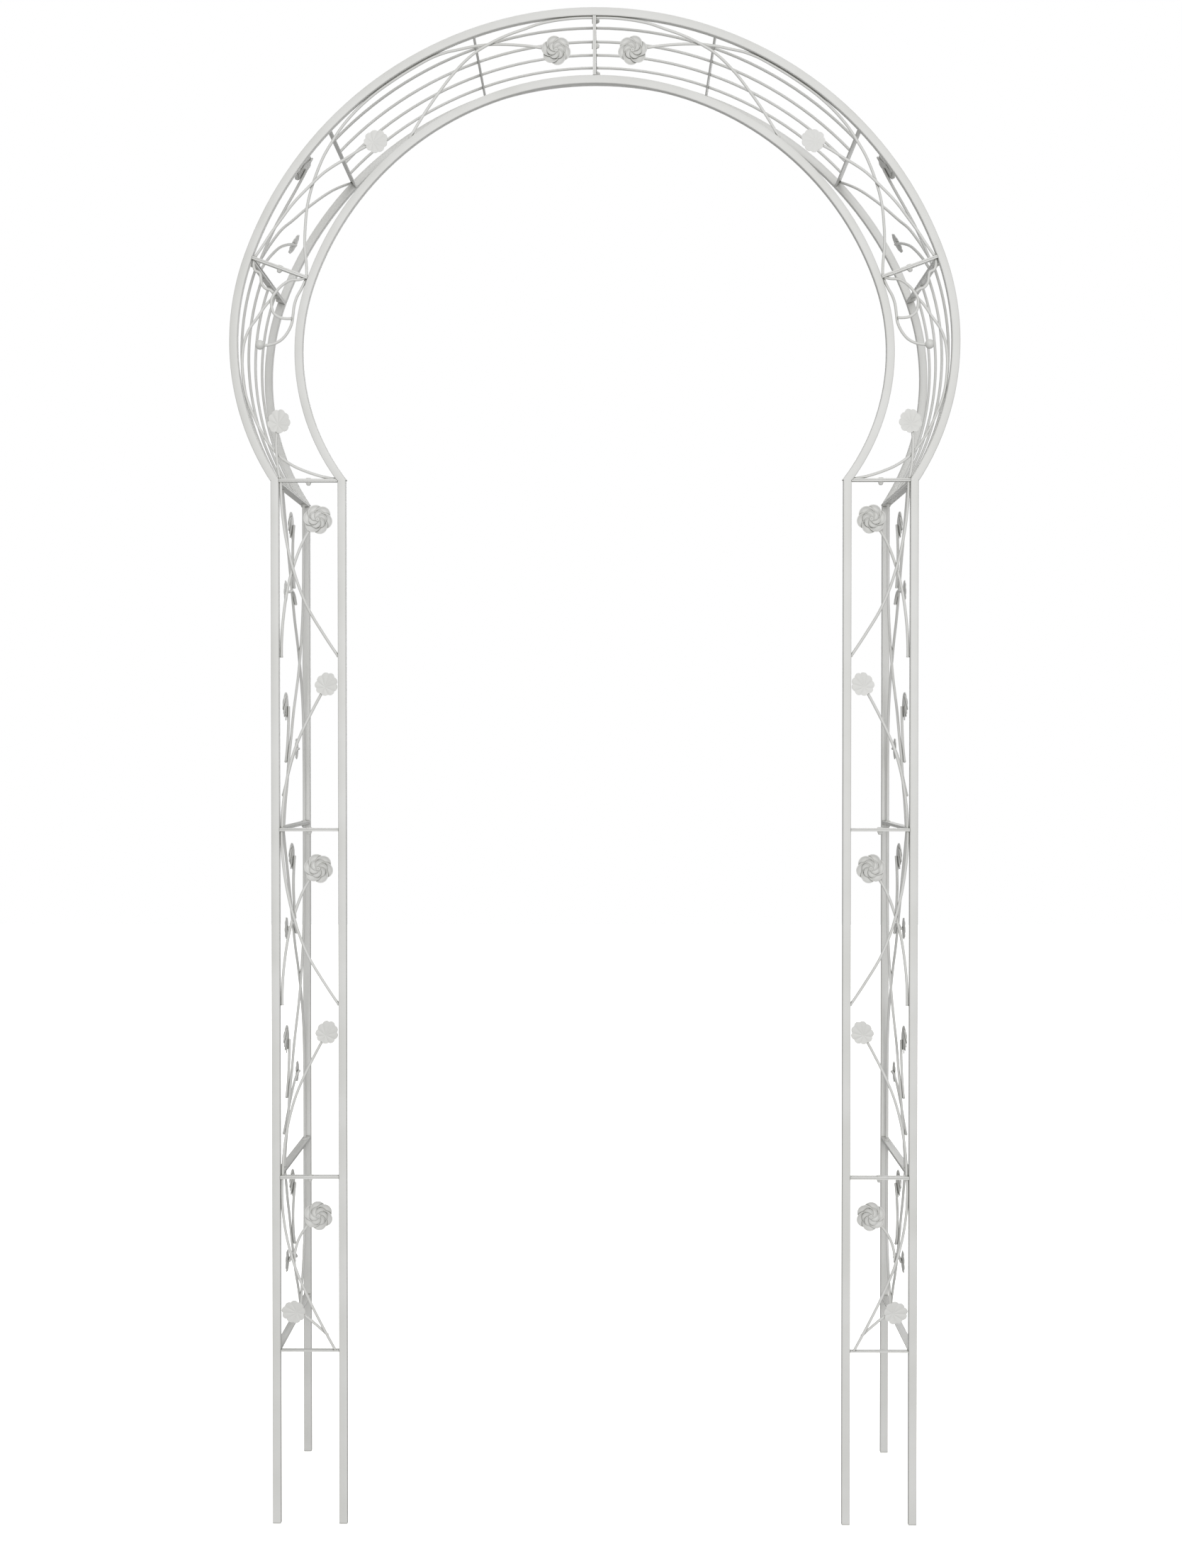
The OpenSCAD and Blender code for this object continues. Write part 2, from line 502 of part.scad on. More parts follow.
// ---- Bolts and cap nuts -------------------------------------------------------------------
nut_bore = nut_height + cap_height / 2;
thread_gap = 0.1;
module at_joint_bolts() {
    on_crown(0) mirror([0, 0, 1]) at_bolts() children();
    both_sides() {
        on_crown(shoulder_angle) at_bolts() children();
        on_leg(elbow_z) at_bolts() children();
        on_leg(2 * leg_section) at_bolts() children();
        on_leg(leg_section) at_bolts() children();
    }
}
module hexagon(h) cylinder(d = nut_width / cos(30), h = h, $fn = 6);
module joint_bolts() color(ZINC) at_joint_bolts() {
    translate([0, 0, bar_face]) hexagon(head_height);
    translate([0, 0, -bar_face - nut_bore]) cylinder(d = bolt_diameter, h = nut_bore + 2 * bar_face);
}
module cap_nuts() color(ZINC) at_joint_bolts() mirror([0, 0, 1]) translate([0, 0, bar_face])
    difference() {
        union() {
            hexagon(nut_height);
            translate([0, 0, nut_height])
                cylinder(d1 = nut_width, d2 = 0.6 * nut_width, h = cap_height);
        }
        translate([0, 0, -1]) cylinder(d = bolt_diameter + thread_gap, h = nut_bore + 1.1);
    }

// ---- Assembly: the feet stand on Z = 0, centred on the arch ---------------------------------
translate([0, -arch_depth / 2, 0]) {
    for (side = SIDES, section = SECTIONS, rail = RAILS)
        on_side(side) rail_piece(section, rail);
    for (side = SIDES, section = SECTIONS)
        vine(side, section);
    for (name = BARS) bars(name);
    crown_wires();
    shoulder_wires();
    front_roses();
    side_roses();
    front_leaves();
    side_leaves();
    scroll_balls();
    joint_bolts();
    cap_nuts();
}
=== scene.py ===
"""A white powder-coated garden arch: square tube rails, flat bars, wires and a rose vine of bent rod."""

import math

import bmesh
import bpy
from mathutils import Matrix, Vector


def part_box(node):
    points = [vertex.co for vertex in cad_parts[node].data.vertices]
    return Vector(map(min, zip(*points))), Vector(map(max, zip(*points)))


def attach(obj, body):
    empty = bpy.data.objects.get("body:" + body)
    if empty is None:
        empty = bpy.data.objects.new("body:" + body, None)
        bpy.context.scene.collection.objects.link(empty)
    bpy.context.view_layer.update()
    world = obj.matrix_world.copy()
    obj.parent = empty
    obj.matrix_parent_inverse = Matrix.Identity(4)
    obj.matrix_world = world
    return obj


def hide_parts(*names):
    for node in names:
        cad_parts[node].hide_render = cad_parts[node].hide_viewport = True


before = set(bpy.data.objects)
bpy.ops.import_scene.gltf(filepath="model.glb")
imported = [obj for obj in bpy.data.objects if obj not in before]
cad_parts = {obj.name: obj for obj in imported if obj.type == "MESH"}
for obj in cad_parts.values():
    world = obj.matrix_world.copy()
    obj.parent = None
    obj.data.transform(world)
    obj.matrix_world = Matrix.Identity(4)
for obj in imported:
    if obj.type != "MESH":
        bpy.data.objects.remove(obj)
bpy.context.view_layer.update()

bl_info = {
    "name": "Rose Garden Arch",
    "version": (1, 0, 0),
    "blender": (4, 5, 0),
    "location": "View3D > Sidebar > Garden Arch",
    "description": "Builds the painted tubes, wires, vine, roses, leaves and fasteners of a garden arch",
    "category": "Add Mesh",
}

MM = 0.001
SIDES = ("left", "right")
LEGS = ("lower_leg", "middle_leg", "upper_leg")
SECTIONS = LEGS + ("shoulder", "crown")
RAILS = ("outer_rail", "inner_rail", "back_rail")
BARS = (
    "crown_joint_bars",
    "shoulder_joint_bars",
    "elbow_joint_bars",
    "upper_leg_joint_bars",
    "lower_leg_joint_bars",
    "crown_cross_bars",
    "foot_cross_bars",
)

# ---- Sizes worked out from the frame -------------------------------------------------------------

LEG_LOW, LEG_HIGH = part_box("left_lower_leg_outer_rail")
INNER_LOW, INNER_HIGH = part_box("left_lower_leg_inner_rail")
BACK_LOW, BACK_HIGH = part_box("left_lower_leg_back_rail")
CROWN_LOW, CROWN_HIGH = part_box("left_crown_outer_rail")
FOOT_LOW, FOOT_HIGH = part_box("foot_cross_bars")
JOINT_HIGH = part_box("lower_leg_joint_bars")[1]

TUBE = LEG_HIGH.x - LEG_LOW.x
OUTER_X = -(LEG_LOW.x + LEG_HIGH.x) / 2
INNER_X = -(INNER_LOW.x + INNER_HIGH.x) / 2
FRONT_Y = (LEG_LOW.y + LEG_HIGH.y) / 2
BACK_Y = (BACK_LOW.y + BACK_HIGH.y) / 2
LEG_SECTION = LEG_HIGH.z - LEG_LOW.z
BAR_FACE = JOINT_HIGH.z - LEG_SECTION
ELBOW_Z = len(LEGS) * LEG_SECTION
SHOULDER_ANGLE = math.radians(70)
CROWN_OUTSIDE = -CROWN_LOW.x / math.sin(SHOULDER_ANGLE)
CROWN_Z = CROWN_HIGH.z - CROWN_OUTSIDE
OUTER_CROWN_R = CROWN_OUTSIDE - TUBE / 2
INNER_CROWN_R = OUTER_CROWN_R - (OUTER_X - INNER_X)
FIRST_BAR_ANGLE = math.radians(19.2)
SECOND_BAR_ANGLE = math.radians(46.3)
CROSS_BAR = FOOT_HIGH.z - FOOT_LOW.z

WIRE_COUNT = 4
WIRE_PITCH = (BACK_LOW.y - LEG_HIGH.y) / (WIRE_COUNT + 1)
ROD_GAP = 0.1 * MM
BALL_SOCKET = 4 * MM


def flat(x, z):
    """A point in the plane of the arch."""
    return Vector((x, z))


CROWN_CENTRE = flat(0, CROWN_Z)
TO_CENTRE = flat(math.sin(SHOULDER_ANGLE), -math.cos(SHOULDER_ANGLE))


def polar(centre, radius, angle):
    """The point at an angle, from +X towards +Z, on a circle in the arch's plane."""
    return centre + radius * flat(math.cos(angle), math.sin(angle))


def shoulder_arc(crown_r, leg_x):
    """(radius, centre, angle at the crown, angle at the elbow) of a shoulder rail's centre line."""
    joint = CROWN_CENTRE - crown_r * TO_CENTRE
    span = flat(-leg_x, ELBOW_Z) - joint
    radius = span.length_squared / (2 * TO_CENTRE.dot(span))
    centre = joint + radius * TO_CENTRE
    last = math.atan2(ELBOW_Z - centre.y, -leg_x - centre.x) % (2 * math.pi)
    return radius, centre, math.pi / 2 + SHOULDER_ANGLE, last


OUTER_SHOULDER = shoulder_arc(OUTER_CROWN_R, OUTER_X)
INNER_SHOULDER = shoulder_arc(INNER_CROWN_R, INNER_X)

# ---- Colours and sizes a user would change -------------------------------------------------------

PAINT_HEX = "E9E9E7"
PAINT_SHADE_HEX = "E2E2DF"
# Painted shade: the darker colour mixed into the powder coat in creases, where an ambient occlusion node
# finds little open space.
CREASE_SHADE_HEX = "A2A29C"
FASTENER_HEX = "E0E0DD"
FLOOR_HEX = "F6F6F4"


def linear(code):
    """An sRGB hex colour as linear red, green, blue and alpha."""
    channels = [int(code[i : i + 2], 16) / 255 for i in (0, 2, 4)]
    return (*(c / 12.92 if c <= 0.04045 else ((c + 0.055) / 1.055) ** 2.4 for c in channels), 1.0)


class ArchSizes(bpy.types.PropertyGroup):
    """Sizes of what is modelled here on top of the frame."""

    tube_corner: bpy.props.FloatProperty(
        name="Tube corner", description="Outside radius of the square tube's corners",
        default=1.5 * MM, unit="LENGTH",
    )
    tube_wall: bpy.props.FloatProperty(
        name="Tube wall", description="Wall thickness of the square tube", default=1.0 * MM, unit="LENGTH"
    )
    bar_edge: bpy.props.FloatProperty(
        name="Bar edge", description="Rounding of the flat bars' edges", default=0.35 * MM, unit="LENGTH"
    )
    wire: bpy.props.FloatProperty(
        name="Wire", description="Diameter of the wires", default=4.5 * MM, unit="LENGTH"
    )
    rod: bpy.props.FloatProperty(
        name="Rod", description="Diameter of the vine's bent rod", default=4.5 * MM, unit="LENGTH"
    )
    rose: bpy.props.FloatProperty(
        name="Rose", description="Diameter of a rose", default=46 * MM, unit="LENGTH"
    )
    rose_depth: bpy.props.FloatProperty(
        name="Rose depth", description="Back of a rose to the button at its centre",
        default=6.5 * MM, unit="LENGTH",
    )
    leaf: bpy.props.FloatProperty(
        name="Leaf", description="Length of a leaf", default=36 * MM, unit="LENGTH"
    )
    leaf_thickness: bpy.props.FloatProperty(
        name="Leaf thickness", description="Thickness of a leaf's sheet", default=1.1 * MM, unit="LENGTH"
    )
    ball: bpy.props.FloatProperty(
        name="Ball", description="Diameter of the ball on a scroll", default=15 * MM, unit="LENGTH"
    )
    bolt: bpy.props.FloatProperty(
        name="Bolt", description="Diameter of a bolt's shank", default=5 * MM, unit="LENGTH"
    )
    flats: bpy.props.FloatProperty(
        name="Flats", description="Width across the flats of heads and nuts", default=8 * MM, unit="LENGTH"
    )
    head_height: bpy.props.FloatProperty(
        name="Head height", description="Height of a bolt head", default=1.6 * MM, unit="LENGTH"
    )
    nut_height: bpy.props.FloatProperty(
        name="Nut height", description="Height of a cap nut's hexagon", default=2.4 * MM, unit="LENGTH"
    )
    cap_height: bpy.props.FloatProperty(
        name="Cap height", description="Height of a cap nut's dome", default=3.1 * MM, unit="LENGTH"
    )


class ArchColours(bpy.types.PropertyGroup):
    """Colours of the paint and of the stage."""

    paint: bpy.props.FloatVectorProperty(
        name="Paint", description="Powder coat on the rails, bars, wires and vine",
        size=4, subtype="COLOR", default=linear(PAINT_HEX),
    )
    paint_shade: bpy.props.FloatVectorProperty(
        name="Paint shade", description="Powder coat where it lies thinner",
        size=4, subtype="COLOR", default=linear(PAINT_SHADE_HEX),
    )
    # Painted shade for the creases between petals and rods, not a colour of the coat itself.
    painted_crease_shade: bpy.props.FloatVectorProperty(
        name="Crease shade", description="Painted shade of the powder coat in the creases between petals and rods",
        size=4, subtype="COLOR", default=linear(CREASE_SHADE_HEX),
    )
    fastener: bpy.props.FloatVectorProperty(
        name="Fastener", description="Lacquer on the bolts and cap nuts",
        size=4, subtype="COLOR", default=linear(FASTENER_HEX),
    )
    floor: bpy.props.FloatVectorProperty(
        name="Floor", description="Plain floor under the arch",
        size=4, subtype="COLOR", default=linear(FLOOR_HEX),
    )


# ---- Materials -----------------------------------------------------------------------------------


def add_node(tree, kind, settings=None, links=None):
    """Adds a node with settings for its inputs or properties, and links from other nodes' outputs."""
    node = tree.nodes.new(kind)
    for key, value in (settings or {}).items():
        if isinstance(key, int) or key in node.inputs:
            node.inputs[key].default_value = value
        else:
            setattr(node, key, value)
    for key, output in (links or {}).items():
        tree.links.new(output, node.inputs[key])
    return node


def new_material(name):
    """An empty node material and its tree."""
    material = bpy.data.materials.new(name)
    material.use_nodes = True
    material.node_tree.nodes.clear()
    return material, material.node_tree


def colour_output(mix):
    """The colour that a mix node gives."""
    return next(o for o in mix.outputs if o.type == "RGBA")


def powder_coat():
    """Polyester powder coat, sprayed and baked: satin, with fine orange peel, an uneven film and painted
    shade in its creases.
    """
    name = "white_powder_coat"
    if name in bpy.data.materials:
        return bpy.data.materials[name]
    colours = bpy.context.scene.arch_colours
    material, tree = new_material(name)
    where = add_node(tree, "ShaderNodeTexCoord").outputs["Object"]
    # The film's thickness wanders over about 80 mm.
    film = add_node(tree, "ShaderNodeTexNoise", {"Scale": 12.0, "Detail": 3.0}, {"Vector": where})
    spread = add_node(
        tree, "ShaderNodeMapRange", {"From Min": 0.35, "From Max": 0.65}, {"Value": film.outputs["Fac"]}
    )
    shade = add_node(
        tree, "ShaderNodeMix",
        {"data_type": "RGBA", "A": tuple(colours.paint_shade), "B": tuple(colours.paint)},
        {"Factor": spread.outputs["Result"]},
    )
    # Orange peel has bumps about 1.5 mm apart and a few microns high, drawn higher so that it shows.
    peel = add_node(tree, "ShaderNodeTexNoise", {"Scale": 650.0, "Detail": 2.0}, {"Vector": where})
    bump = add_node(
        tree, "ShaderNodeBump", {"Strength": 0.2, "Distance": 0.00008}, {"Height": peel.outputs["Fac"]}
    )
    # Painted shade: an ambient occlusion node darkens the coat's colour in the creases between petals and
    # where rods meet, where shade falls.
    crease = add_node(tree, "ShaderNodeAmbientOcclusion", {"Distance": 0.003, "samples": 8})
    unshaded_share = add_node(
        tree, "ShaderNodeMapRange", {"From Min": 0.45, "From Max": 0.95}, {"Value": crease.outputs["AO"]}
    )
    gloss = add_node(
        tree, "ShaderNodeMapRange", {"To Min": 0.38, "To Max": 0.5}, {"Value": film.outputs["Fac"]}
    )
    # Mixes the painted crease shade into the paint colour where the occlusion is low.
    with_crease_shade = add_node(
        tree, "ShaderNodeMix",
        {"data_type": "RGBA", "A": tuple(colours.painted_crease_shade)},
        {"Factor": unshaded_share.outputs["Result"], "B": colour_output(shade)},
    )
    surface = add_node(
        tree, "ShaderNodeBsdfPrincipled", {"IOR": 1.5},
        {
            "Base Color": colour_output(with_crease_shade), "Roughness": gloss.outputs["Result"],
            "Normal": bump.outputs["Normal"],
        },
    )
    add_node(tree, "ShaderNodeOutputMaterial", links={"Surface": surface.outputs["BSDF"]})
    return material


def fastener_paint():
    """White lacquer brushed over turned, zinc-plated steel: a little glossier than the powder coat."""
    name = "white_lacquered_zinc"
    if name in bpy.data.materials:
        return bpy.data.materials[name]
    material, tree = new_material(name)
    where = add_node(tree, "ShaderNodeTexCoord").outputs["Object"]
    # Turning marks about 0.4 mm apart, drawn coarser than the real ones so that they show.
    marks = add_node(tree, "ShaderNodeTexNoise", {"Scale": 2500.0, "Detail": 1.0}, {"Vector": where})
    bump = add_node(
        tree, "ShaderNodeBump", {"Strength": 0.15, "Distance": 0.0001}, {"Height": marks.outputs["Fac"]}
    )
    gloss = add_node(
        tree, "ShaderNodeMapRange", {"To Min": 0.28, "To Max": 0.42}, {"Value": marks.outputs["Fac"]}
    )
    surface = add_node(
        tree, "ShaderNodeBsdfPrincipled",
        {"Base Color": tuple(bpy.context.scene.arch_colours.fastener), "IOR": 1.5},
        {"Roughness": gloss.outputs["Result"], "Normal": bump.outputs["Normal"]},
    )
    add_node(tree, "ShaderNodeOutputMaterial", links={"Surface": surface.outputs["BSDF"]})
    return material


# ---- Making pieces -------------------------------------------------------------------------------


def finish_piece(name, mesh, material, nodes=(), smooth_angle=40):
    """Makes a mesh a piece of the arch, in place of its CAD nodes, with smooth shading below an angle."""
    piece = bpy.data.objects.new(name, mesh)
    bpy.context.scene.collection.objects.link(piece)
    mesh.materials.clear()
    mesh.materials.append(material)
    mesh.shade_smooth()
    mesh.set_sharp_from_angle(angle=math.radians(smooth_angle))
    if nodes:
        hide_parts(*nodes)
    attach(piece, "root")
    return piece


def to_mesh(bm, name):
    """Turns a bmesh into a named mesh and frees it."""
    mesh = bpy.data.meshes.new(name)
    bm.to_mesh(mesh)
    bm.free()
    return mesh


def add_copy(bm, shape, matrix):
    """Adds a copy of a mesh to a bmesh, moved by a matrix, and keeps its faces outwards in a mirror."""
    before = len(bm.verts)
    old_faces = len(bm.faces)
    bm.from_mesh(shape)
    bm.verts.ensure_lookup_table()
    bm.faces.ensure_lookup_table()
    bmesh.ops.transform(bm, matrix=matrix, verts=bm.verts[before:])
    if matrix.determinant() < 0:
        bmesh.ops.reverse_faces(bm, faces=bm.faces[old_faces:])


def side_matrix(side):
    """The identity for the left half and a mirror across X for the right."""
    return Matrix.Diagonal((-1 if side == "right" else 1, 1, 1, 1))


def mirror_if_right(bm, side):
    """Mirrors a whole bmesh across X for the right half."""
    if side == "right":
        bmesh.ops.transform(bm, matrix=side_matrix(side), verts=bm.verts)
        bmesh.ops.reverse_faces(bm, faces=bm.faces)


def on_arc(arc_centre, angle, y):
    """Places a profile drawn in XY, with its X along the radius, across an arc in the arch's plane."""
    return (
        Matrix.Translation((arc_centre.x, y, arc_centre.y))
        @ Matrix.Rotation(-angle, 4, "Y")
    )


# ---- Rails ---------------------------------------------------------------------------------------

ARC_STEP = math.radians(2)


def tube_profile(bm, sizes, matrix):
    """The cross-section of the square tube: a ring of faces with rounded corners, placed by a matrix."""
    made = bmesh.ops.create_grid(bm, x_segments=1, y_segments=1, size=TUBE / 2)
    bmesh.ops.bevel(
        bm, geom=made["verts"], offset=sizes.tube_corner, segments=4, profile=0.5,
        affect="VERTICES", material=-1,
    )
    ring = bmesh.ops.inset_region(
        bm, faces=bm.faces[:], thickness=sizes.tube_wall, use_boundary=True, use_even_offset=True
    )
    middle = [f for f in bm.faces if f not in ring["faces"]]
    bmesh.ops.delete(bm, geom=middle, context="FACES")
    bmesh.ops.transform(bm, matrix=matrix, verts=bm.verts)


def straight_tube(bm, sizes, x, y, low):
    """One leg rail."""
    tube_profile(bm, sizes, Matrix.Translation((x, y, low)))
    made = bmesh.ops.extrude_face_region(bm, geom=bm.faces[:])
    top = [v for v in made["geom"] if isinstance(v, bmesh.types.BMVert)]
    bmesh.ops.translate(bm, verts=top, vec=(0, 0, LEG_SECTION))


def arc_tube(bm, sizes, centre, radius, first, last, y):
    """One bent rail, between two angles."""
    place = on_arc(centre, first, y) @ Matrix.Translation((radius, 0, 0))
    tube_profile(bm, sizes, place)
    spin_up(bm, centre, y, last - first)


def spin_up(bm, centre, y, angle):
    """Sweeps everything in the bmesh along an arc in the arch's plane."""
    bmesh.ops.spin(
        bm, geom=bm.faces[:] + bm.edges[:] + bm.verts[:], cent=(centre.x, y, centre.y), axis=(0, -1, 0),
        angle=angle, steps=max(2, round(angle / ARC_STEP)), use_duplicate=False,
    )


def cut_level(bm, height):
    """Cuts away what is below a height, and gives the edges of the cut, where the tube's wall or the rod's
    end is closed.
    """
    cut = bmesh.ops.bisect_plane(
        bm, geom=bm.verts[:] + bm.edges[:] + bm.faces[:], plane_co=(0, 0, height), plane_no=(0, 0, -1),
        clear_outer=True,
    )
    return [e for e in cut["geom_cut"] if isinstance(e, bmesh.types.BMEdge)]


def rail_mesh(sizes, side, section, rail):
    """The mesh of one rail of one section."""
    bm = bmesh.new()
    inner = rail == "inner_rail"
    y = BACK_Y if rail == "back_rail" else FRONT_Y
    if section == "crown":
        radius = INNER_CROWN_R if inner else OUTER_CROWN_R
        arc_tube(bm, sizes, CROWN_CENTRE, radius, math.pi / 2, math.pi / 2 + SHOULDER_ANGLE, y)
    elif section == "shoulder":
        radius, centre, first, last = INNER_SHOULDER if inner else OUTER_SHOULDER
        arc_tube(bm, sizes, centre, radius, first, last + 2 * ARC_STEP, y)
        edges = cut_level(bm, ELBOW_Z)
        bmesh.ops.bridge_loops(bm, edges=edges)
    else:
        straight_tube(bm, sizes, -(INNER_X if inner else OUTER_X), y, LEG_SECTION * LEGS.index(section))
    bmesh.ops.recalc_face_normals(bm, faces=bm.faces)
    mirror_if_right(bm, side)
    return to_mesh(bm, f"{side}_{section}_{rail}_tube")


# ---- Places along the vine -----------------------------------------------------------------------
# A rod is bent through points of its panel's drawing grid.

LADDER_COLUMNS = 100  # from the outer rail's face to the inner rail's
SIDE_COLUMNS = 360  # from the front rail's face to the back rail's
LEG_ROWS = 500  # up a leg section
FOOT_ROWS = 250  # up the lowest section, from its cross bar
CROWN_ROWS = 700  # from the top to the shoulder joint
SHOULDER_ROWS = 300  # from the shoulder joint to the elbow

LOW_BEND = [(3, 250), (5, 194), (23, 125), (47, 76), (74, 30), (93, 0)]
LOW_ROSE = [(23, 129), (31, 162), (48, 183), (65, 196)]
LOW_LEAF = [(79, 21), (58, 37), (40, 49), (22, 55)]
HIGH_BEND = [(3, 500), (10, 427), (23, 377), (49, 318), (75, 281), (100, 249)]
HIGH_ROSE = [(3, 248), (6, 303), (23, 377), (50, 429), (66, 446)]
HIGH_LEAF = [(3, 0), (6, 39), (23, 108), (59, 176), (80, 208)]

LOW_SIDE_BEND_1 = [
    (99, 250), (112, 230), (136, 190), (155, 165), (171, 140), (188, 115), (230, 62), (260, 33),
    (288, 0),
]
LOW_SIDE_BEND_2 = [(311, 250), (310, 193), (308, 113), (294, 71), (272, 31), (258, 0)]
LOW_SIDE_ROSE = [(186, 118), (173, 132), (166, 152), (169, 180), (192, 209)]
LOW_SIDE_LEAF = [(205, 93), (175, 104), (147, 107), (121, 103)]
SIDE_BEND_1 = [
    (92, 500), (113, 471), (143, 432), (174, 391), (204, 350), (236, 310), (263, 284), (293, 249),
    (314, 220), (329, 192), (339, 160), (344, 120), (347, 70), (347, 0),
]
SIDE_BEND_2 = [
    (67, 0), (86, 37), (105, 62), (121, 92), (154, 132), (189, 176), (212, 198), (237, 222),
    (259, 248), (279, 280), (296, 315), (306, 350), (311, 400), (312, 500),
]
SIDE_ROSE_1 = [(196, 361), (184, 385), (178, 410), (182, 434), (194, 455)]
SIDE_LEAF_1 = [(214, 337), (190, 351), (165, 354), (140, 351), (120, 350)]
SIDE_ROSE_2 = [(124, 96), (141, 116), (151, 137), (157, 158), (159, 179)]
SIDE_LEAF_2 = [(93, 46), (125, 62), (158, 80), (190, 95), (225, 108), (255, 114), (280, 115)]

CROWN_BEND = [
    (3, 0), (3, 43), (4, 66), (6, 89), (10, 112), (13, 136), (17, 161), (21, 180), (25, 197),
    (44, 245), (62, 283), (78, 319), (92, 352), (100, 371),
]
CROWN_ROSE = [
    (97, 699), (91, 682), (74, 648), (60, 617), (45, 583), (37, 561), (30, 539), (24, 519), (19, 501),
    (14, 476), (9, 451), (5, 418), (3, 379), (3, 340), (3, 300), (3, 262), (5, 243), (9, 224),
    (14, 196), (20, 170), (29, 140), (38, 111), (45, 90), (54, 66),
]
CROWN_LEAF = [
    (3, 700), (9, 678), (14, 651), (19, 624), (23, 597), (31, 558), (39, 519), (45, 500), (51, 482),
    (60, 448), (68, 423),
]
SHOULDER_WAVE = [(3, 2), (5, 8), (11, 14), (19, 15), (23, 20), (26, 26), (36, 32), (44, 32), (50, 34)]
SHOULDER_CURL = [
    (95, 2), (88, 6), (74, 11), (62, 22), (55, 33), (51, 43), (53, 53), (59, 61), (69, 64), (81, 63),
    (89, 61),
]
SHOULDER_SCROLL = [
    (97, 2), (95, 16), (91, 30), (90, 43), (91, 55), (91, 66), (85, 81), (75, 93), (60, 102), (42, 107),
]
SHOULDER_BEND = [
    (50, 43), (43, 52), (32, 71), (18, 92), (11, 109), (7, 128), (5, 146), (4, 184), (8, 207), (11, 225),
    (18, 250), (25, 264), (40, 277), (59, 285), (82, 291), (100, 293),
]
SHOULDER_LEAF = [(3, 299), (21, 263), (41, 226), (51, 211)]
OUTSIDE_BEND = [
    (354, 463), (288, 500), (215, 560), (175, 595), (140, 620), (113, 654), (96, 679), (82, 700),
]
OUTSIDE_LEAF = [(98, 700), (121, 675), (137, 662), (163, 645), (199, 631), (267, 615)]
OUTSIDE_ROSE = [(70, 700), (72, 680), (73, 655), (72, 626), (72, 590), (64, 555), (49, 530)]


def mixed(a, b, share):
    """The value or point a share of the way from a to b."""
    return a + (b - a) * share


def leg_span(section):
    """(low height, high height, rows of the grid) of a leg panel."""
    i = LEGS.index(section)
    high = (i + 1) * LEG_SECTION - BAR_FACE
    if i == 0:
        return FOOT_HIGH.z, high, FOOT_ROWS
    return i * LEG_SECTION + BAR_FACE, high, LEG_ROWS


class Panel:
    """A flat or bent sheet of the arch that rods lie in: grid to sheet, and sheet to space."""

    def __init__(self, to_sheet, to_space, facing):
        self.to_sheet = to_sheet
        self.to_space = to_space
        self.facing = facing


def layer_offset(layer, rod):
    """How far a layer's middle lies behind the middle of the rails: layer 0 is the outer, 1 the inner."""
    return (layer - 0.5) * (rod + ROD_GAP)


def upright(point, depth):
    """A point of the arch's plane at a depth behind the middle of the front rails."""
    return Vector((point.x, FRONT_Y + depth, point.y))


def front_facing(point):
    """Places a shape that faces up so that it faces the front, with its X along the arch's X."""
    return Matrix.Rotation(math.pi / 2, 4, "X")


def ladder_panel(section):
    """The ladder of a leg section."""
    low, high, rows = leg_span(section)
    width = OUTER_X - INNER_X - TUBE

    def to_sheet(g):
        return flat(-OUTER_X + TUBE / 2 + g[0] / LADDER_COLUMNS * width, mixed(low, high, g[1] / rows))

    return Panel(to_sheet, upright, front_facing)


def side_panel(section):
    """The side of a leg section, from its front rail to its back rail."""
    low, high, rows = leg_span(section)

    def to_sheet(g):
        return flat(mixed(LEG_HIGH.y, BACK_LOW.y, g[0] / SIDE_COLUMNS), mixed(low, high, g[1] / rows))

    def to_space(point, depth):
        return Vector((-OUTER_X + depth, point.x, point.y))

    def facing(point):
        # A shape's own X becomes the depth, which takes a mirror as well as a turn.
        return Matrix(((0, 0, -1, 0), (1, 0, 0, 0), (0, 1, 0, 0), (0, 0, 0, 1)))

    return Panel(to_sheet, to_space, facing)


def crown_to_sheet(g):
    """The crown's ladder."""
    radius = OUTER_CROWN_R - TUBE / 2 - g[0] / LADDER_COLUMNS * (OUTER_X - INNER_X - TUBE)
    return polar(CROWN_CENTRE, radius, math.pi / 2 + g[1] / CROWN_ROWS * SHOULDER_ANGLE)


def shoulder_to_sheet(g):
    """The shoulder's ladder, between its two arcs."""
    share = g[1] / SHOULDER_ROWS
    ends = []
    for (radius, centre, first, last), offset in ((OUTER_SHOULDER, -TUBE / 2), (INNER_SHOULDER, TUBE / 2)):
        ends.append(polar(centre, radius + offset, mixed(first, last, share)))
    return mixed(ends[0], ends[1], g[0] / LADDER_COLUMNS)


def outside_to_sheet(g):
    """The outside of the crown, unrolled: depth, and length along the curve from the top."""
    depth = mixed(LEG_HIGH.y, BACK_LOW.y, g[0] / SIDE_COLUMNS)
    return flat(depth, g[1] / CROWN_ROWS * SHOULDER_ANGLE * OUTER_CROWN_R)


def outside_to_space(point, depth):
    """A point of the unrolled crown, rolled back and set inwards by a depth."""
    angle = point.y / OUTER_CROWN_R
    radius = OUTER_CROWN_R - depth
    return Vector((-radius * math.sin(angle), point.x, CROWN_Z + radius * math.cos(angle)))


def outside_facing(point):
    """Turns a shape to face outwards there, with its X along the depth and its Y down the curve."""
    angle = point.y / OUTER_CROWN_R
    down = Vector((-math.cos(angle), 0, -math.sin(angle)))
    out = Vector((-math.sin(angle), 0, math.cos(angle)))
    return Matrix(((0, down.x, out.x, 0), (1, 0, 0, 0), (0, down.z, out.z, 0), (0, 0, 0, 1)))


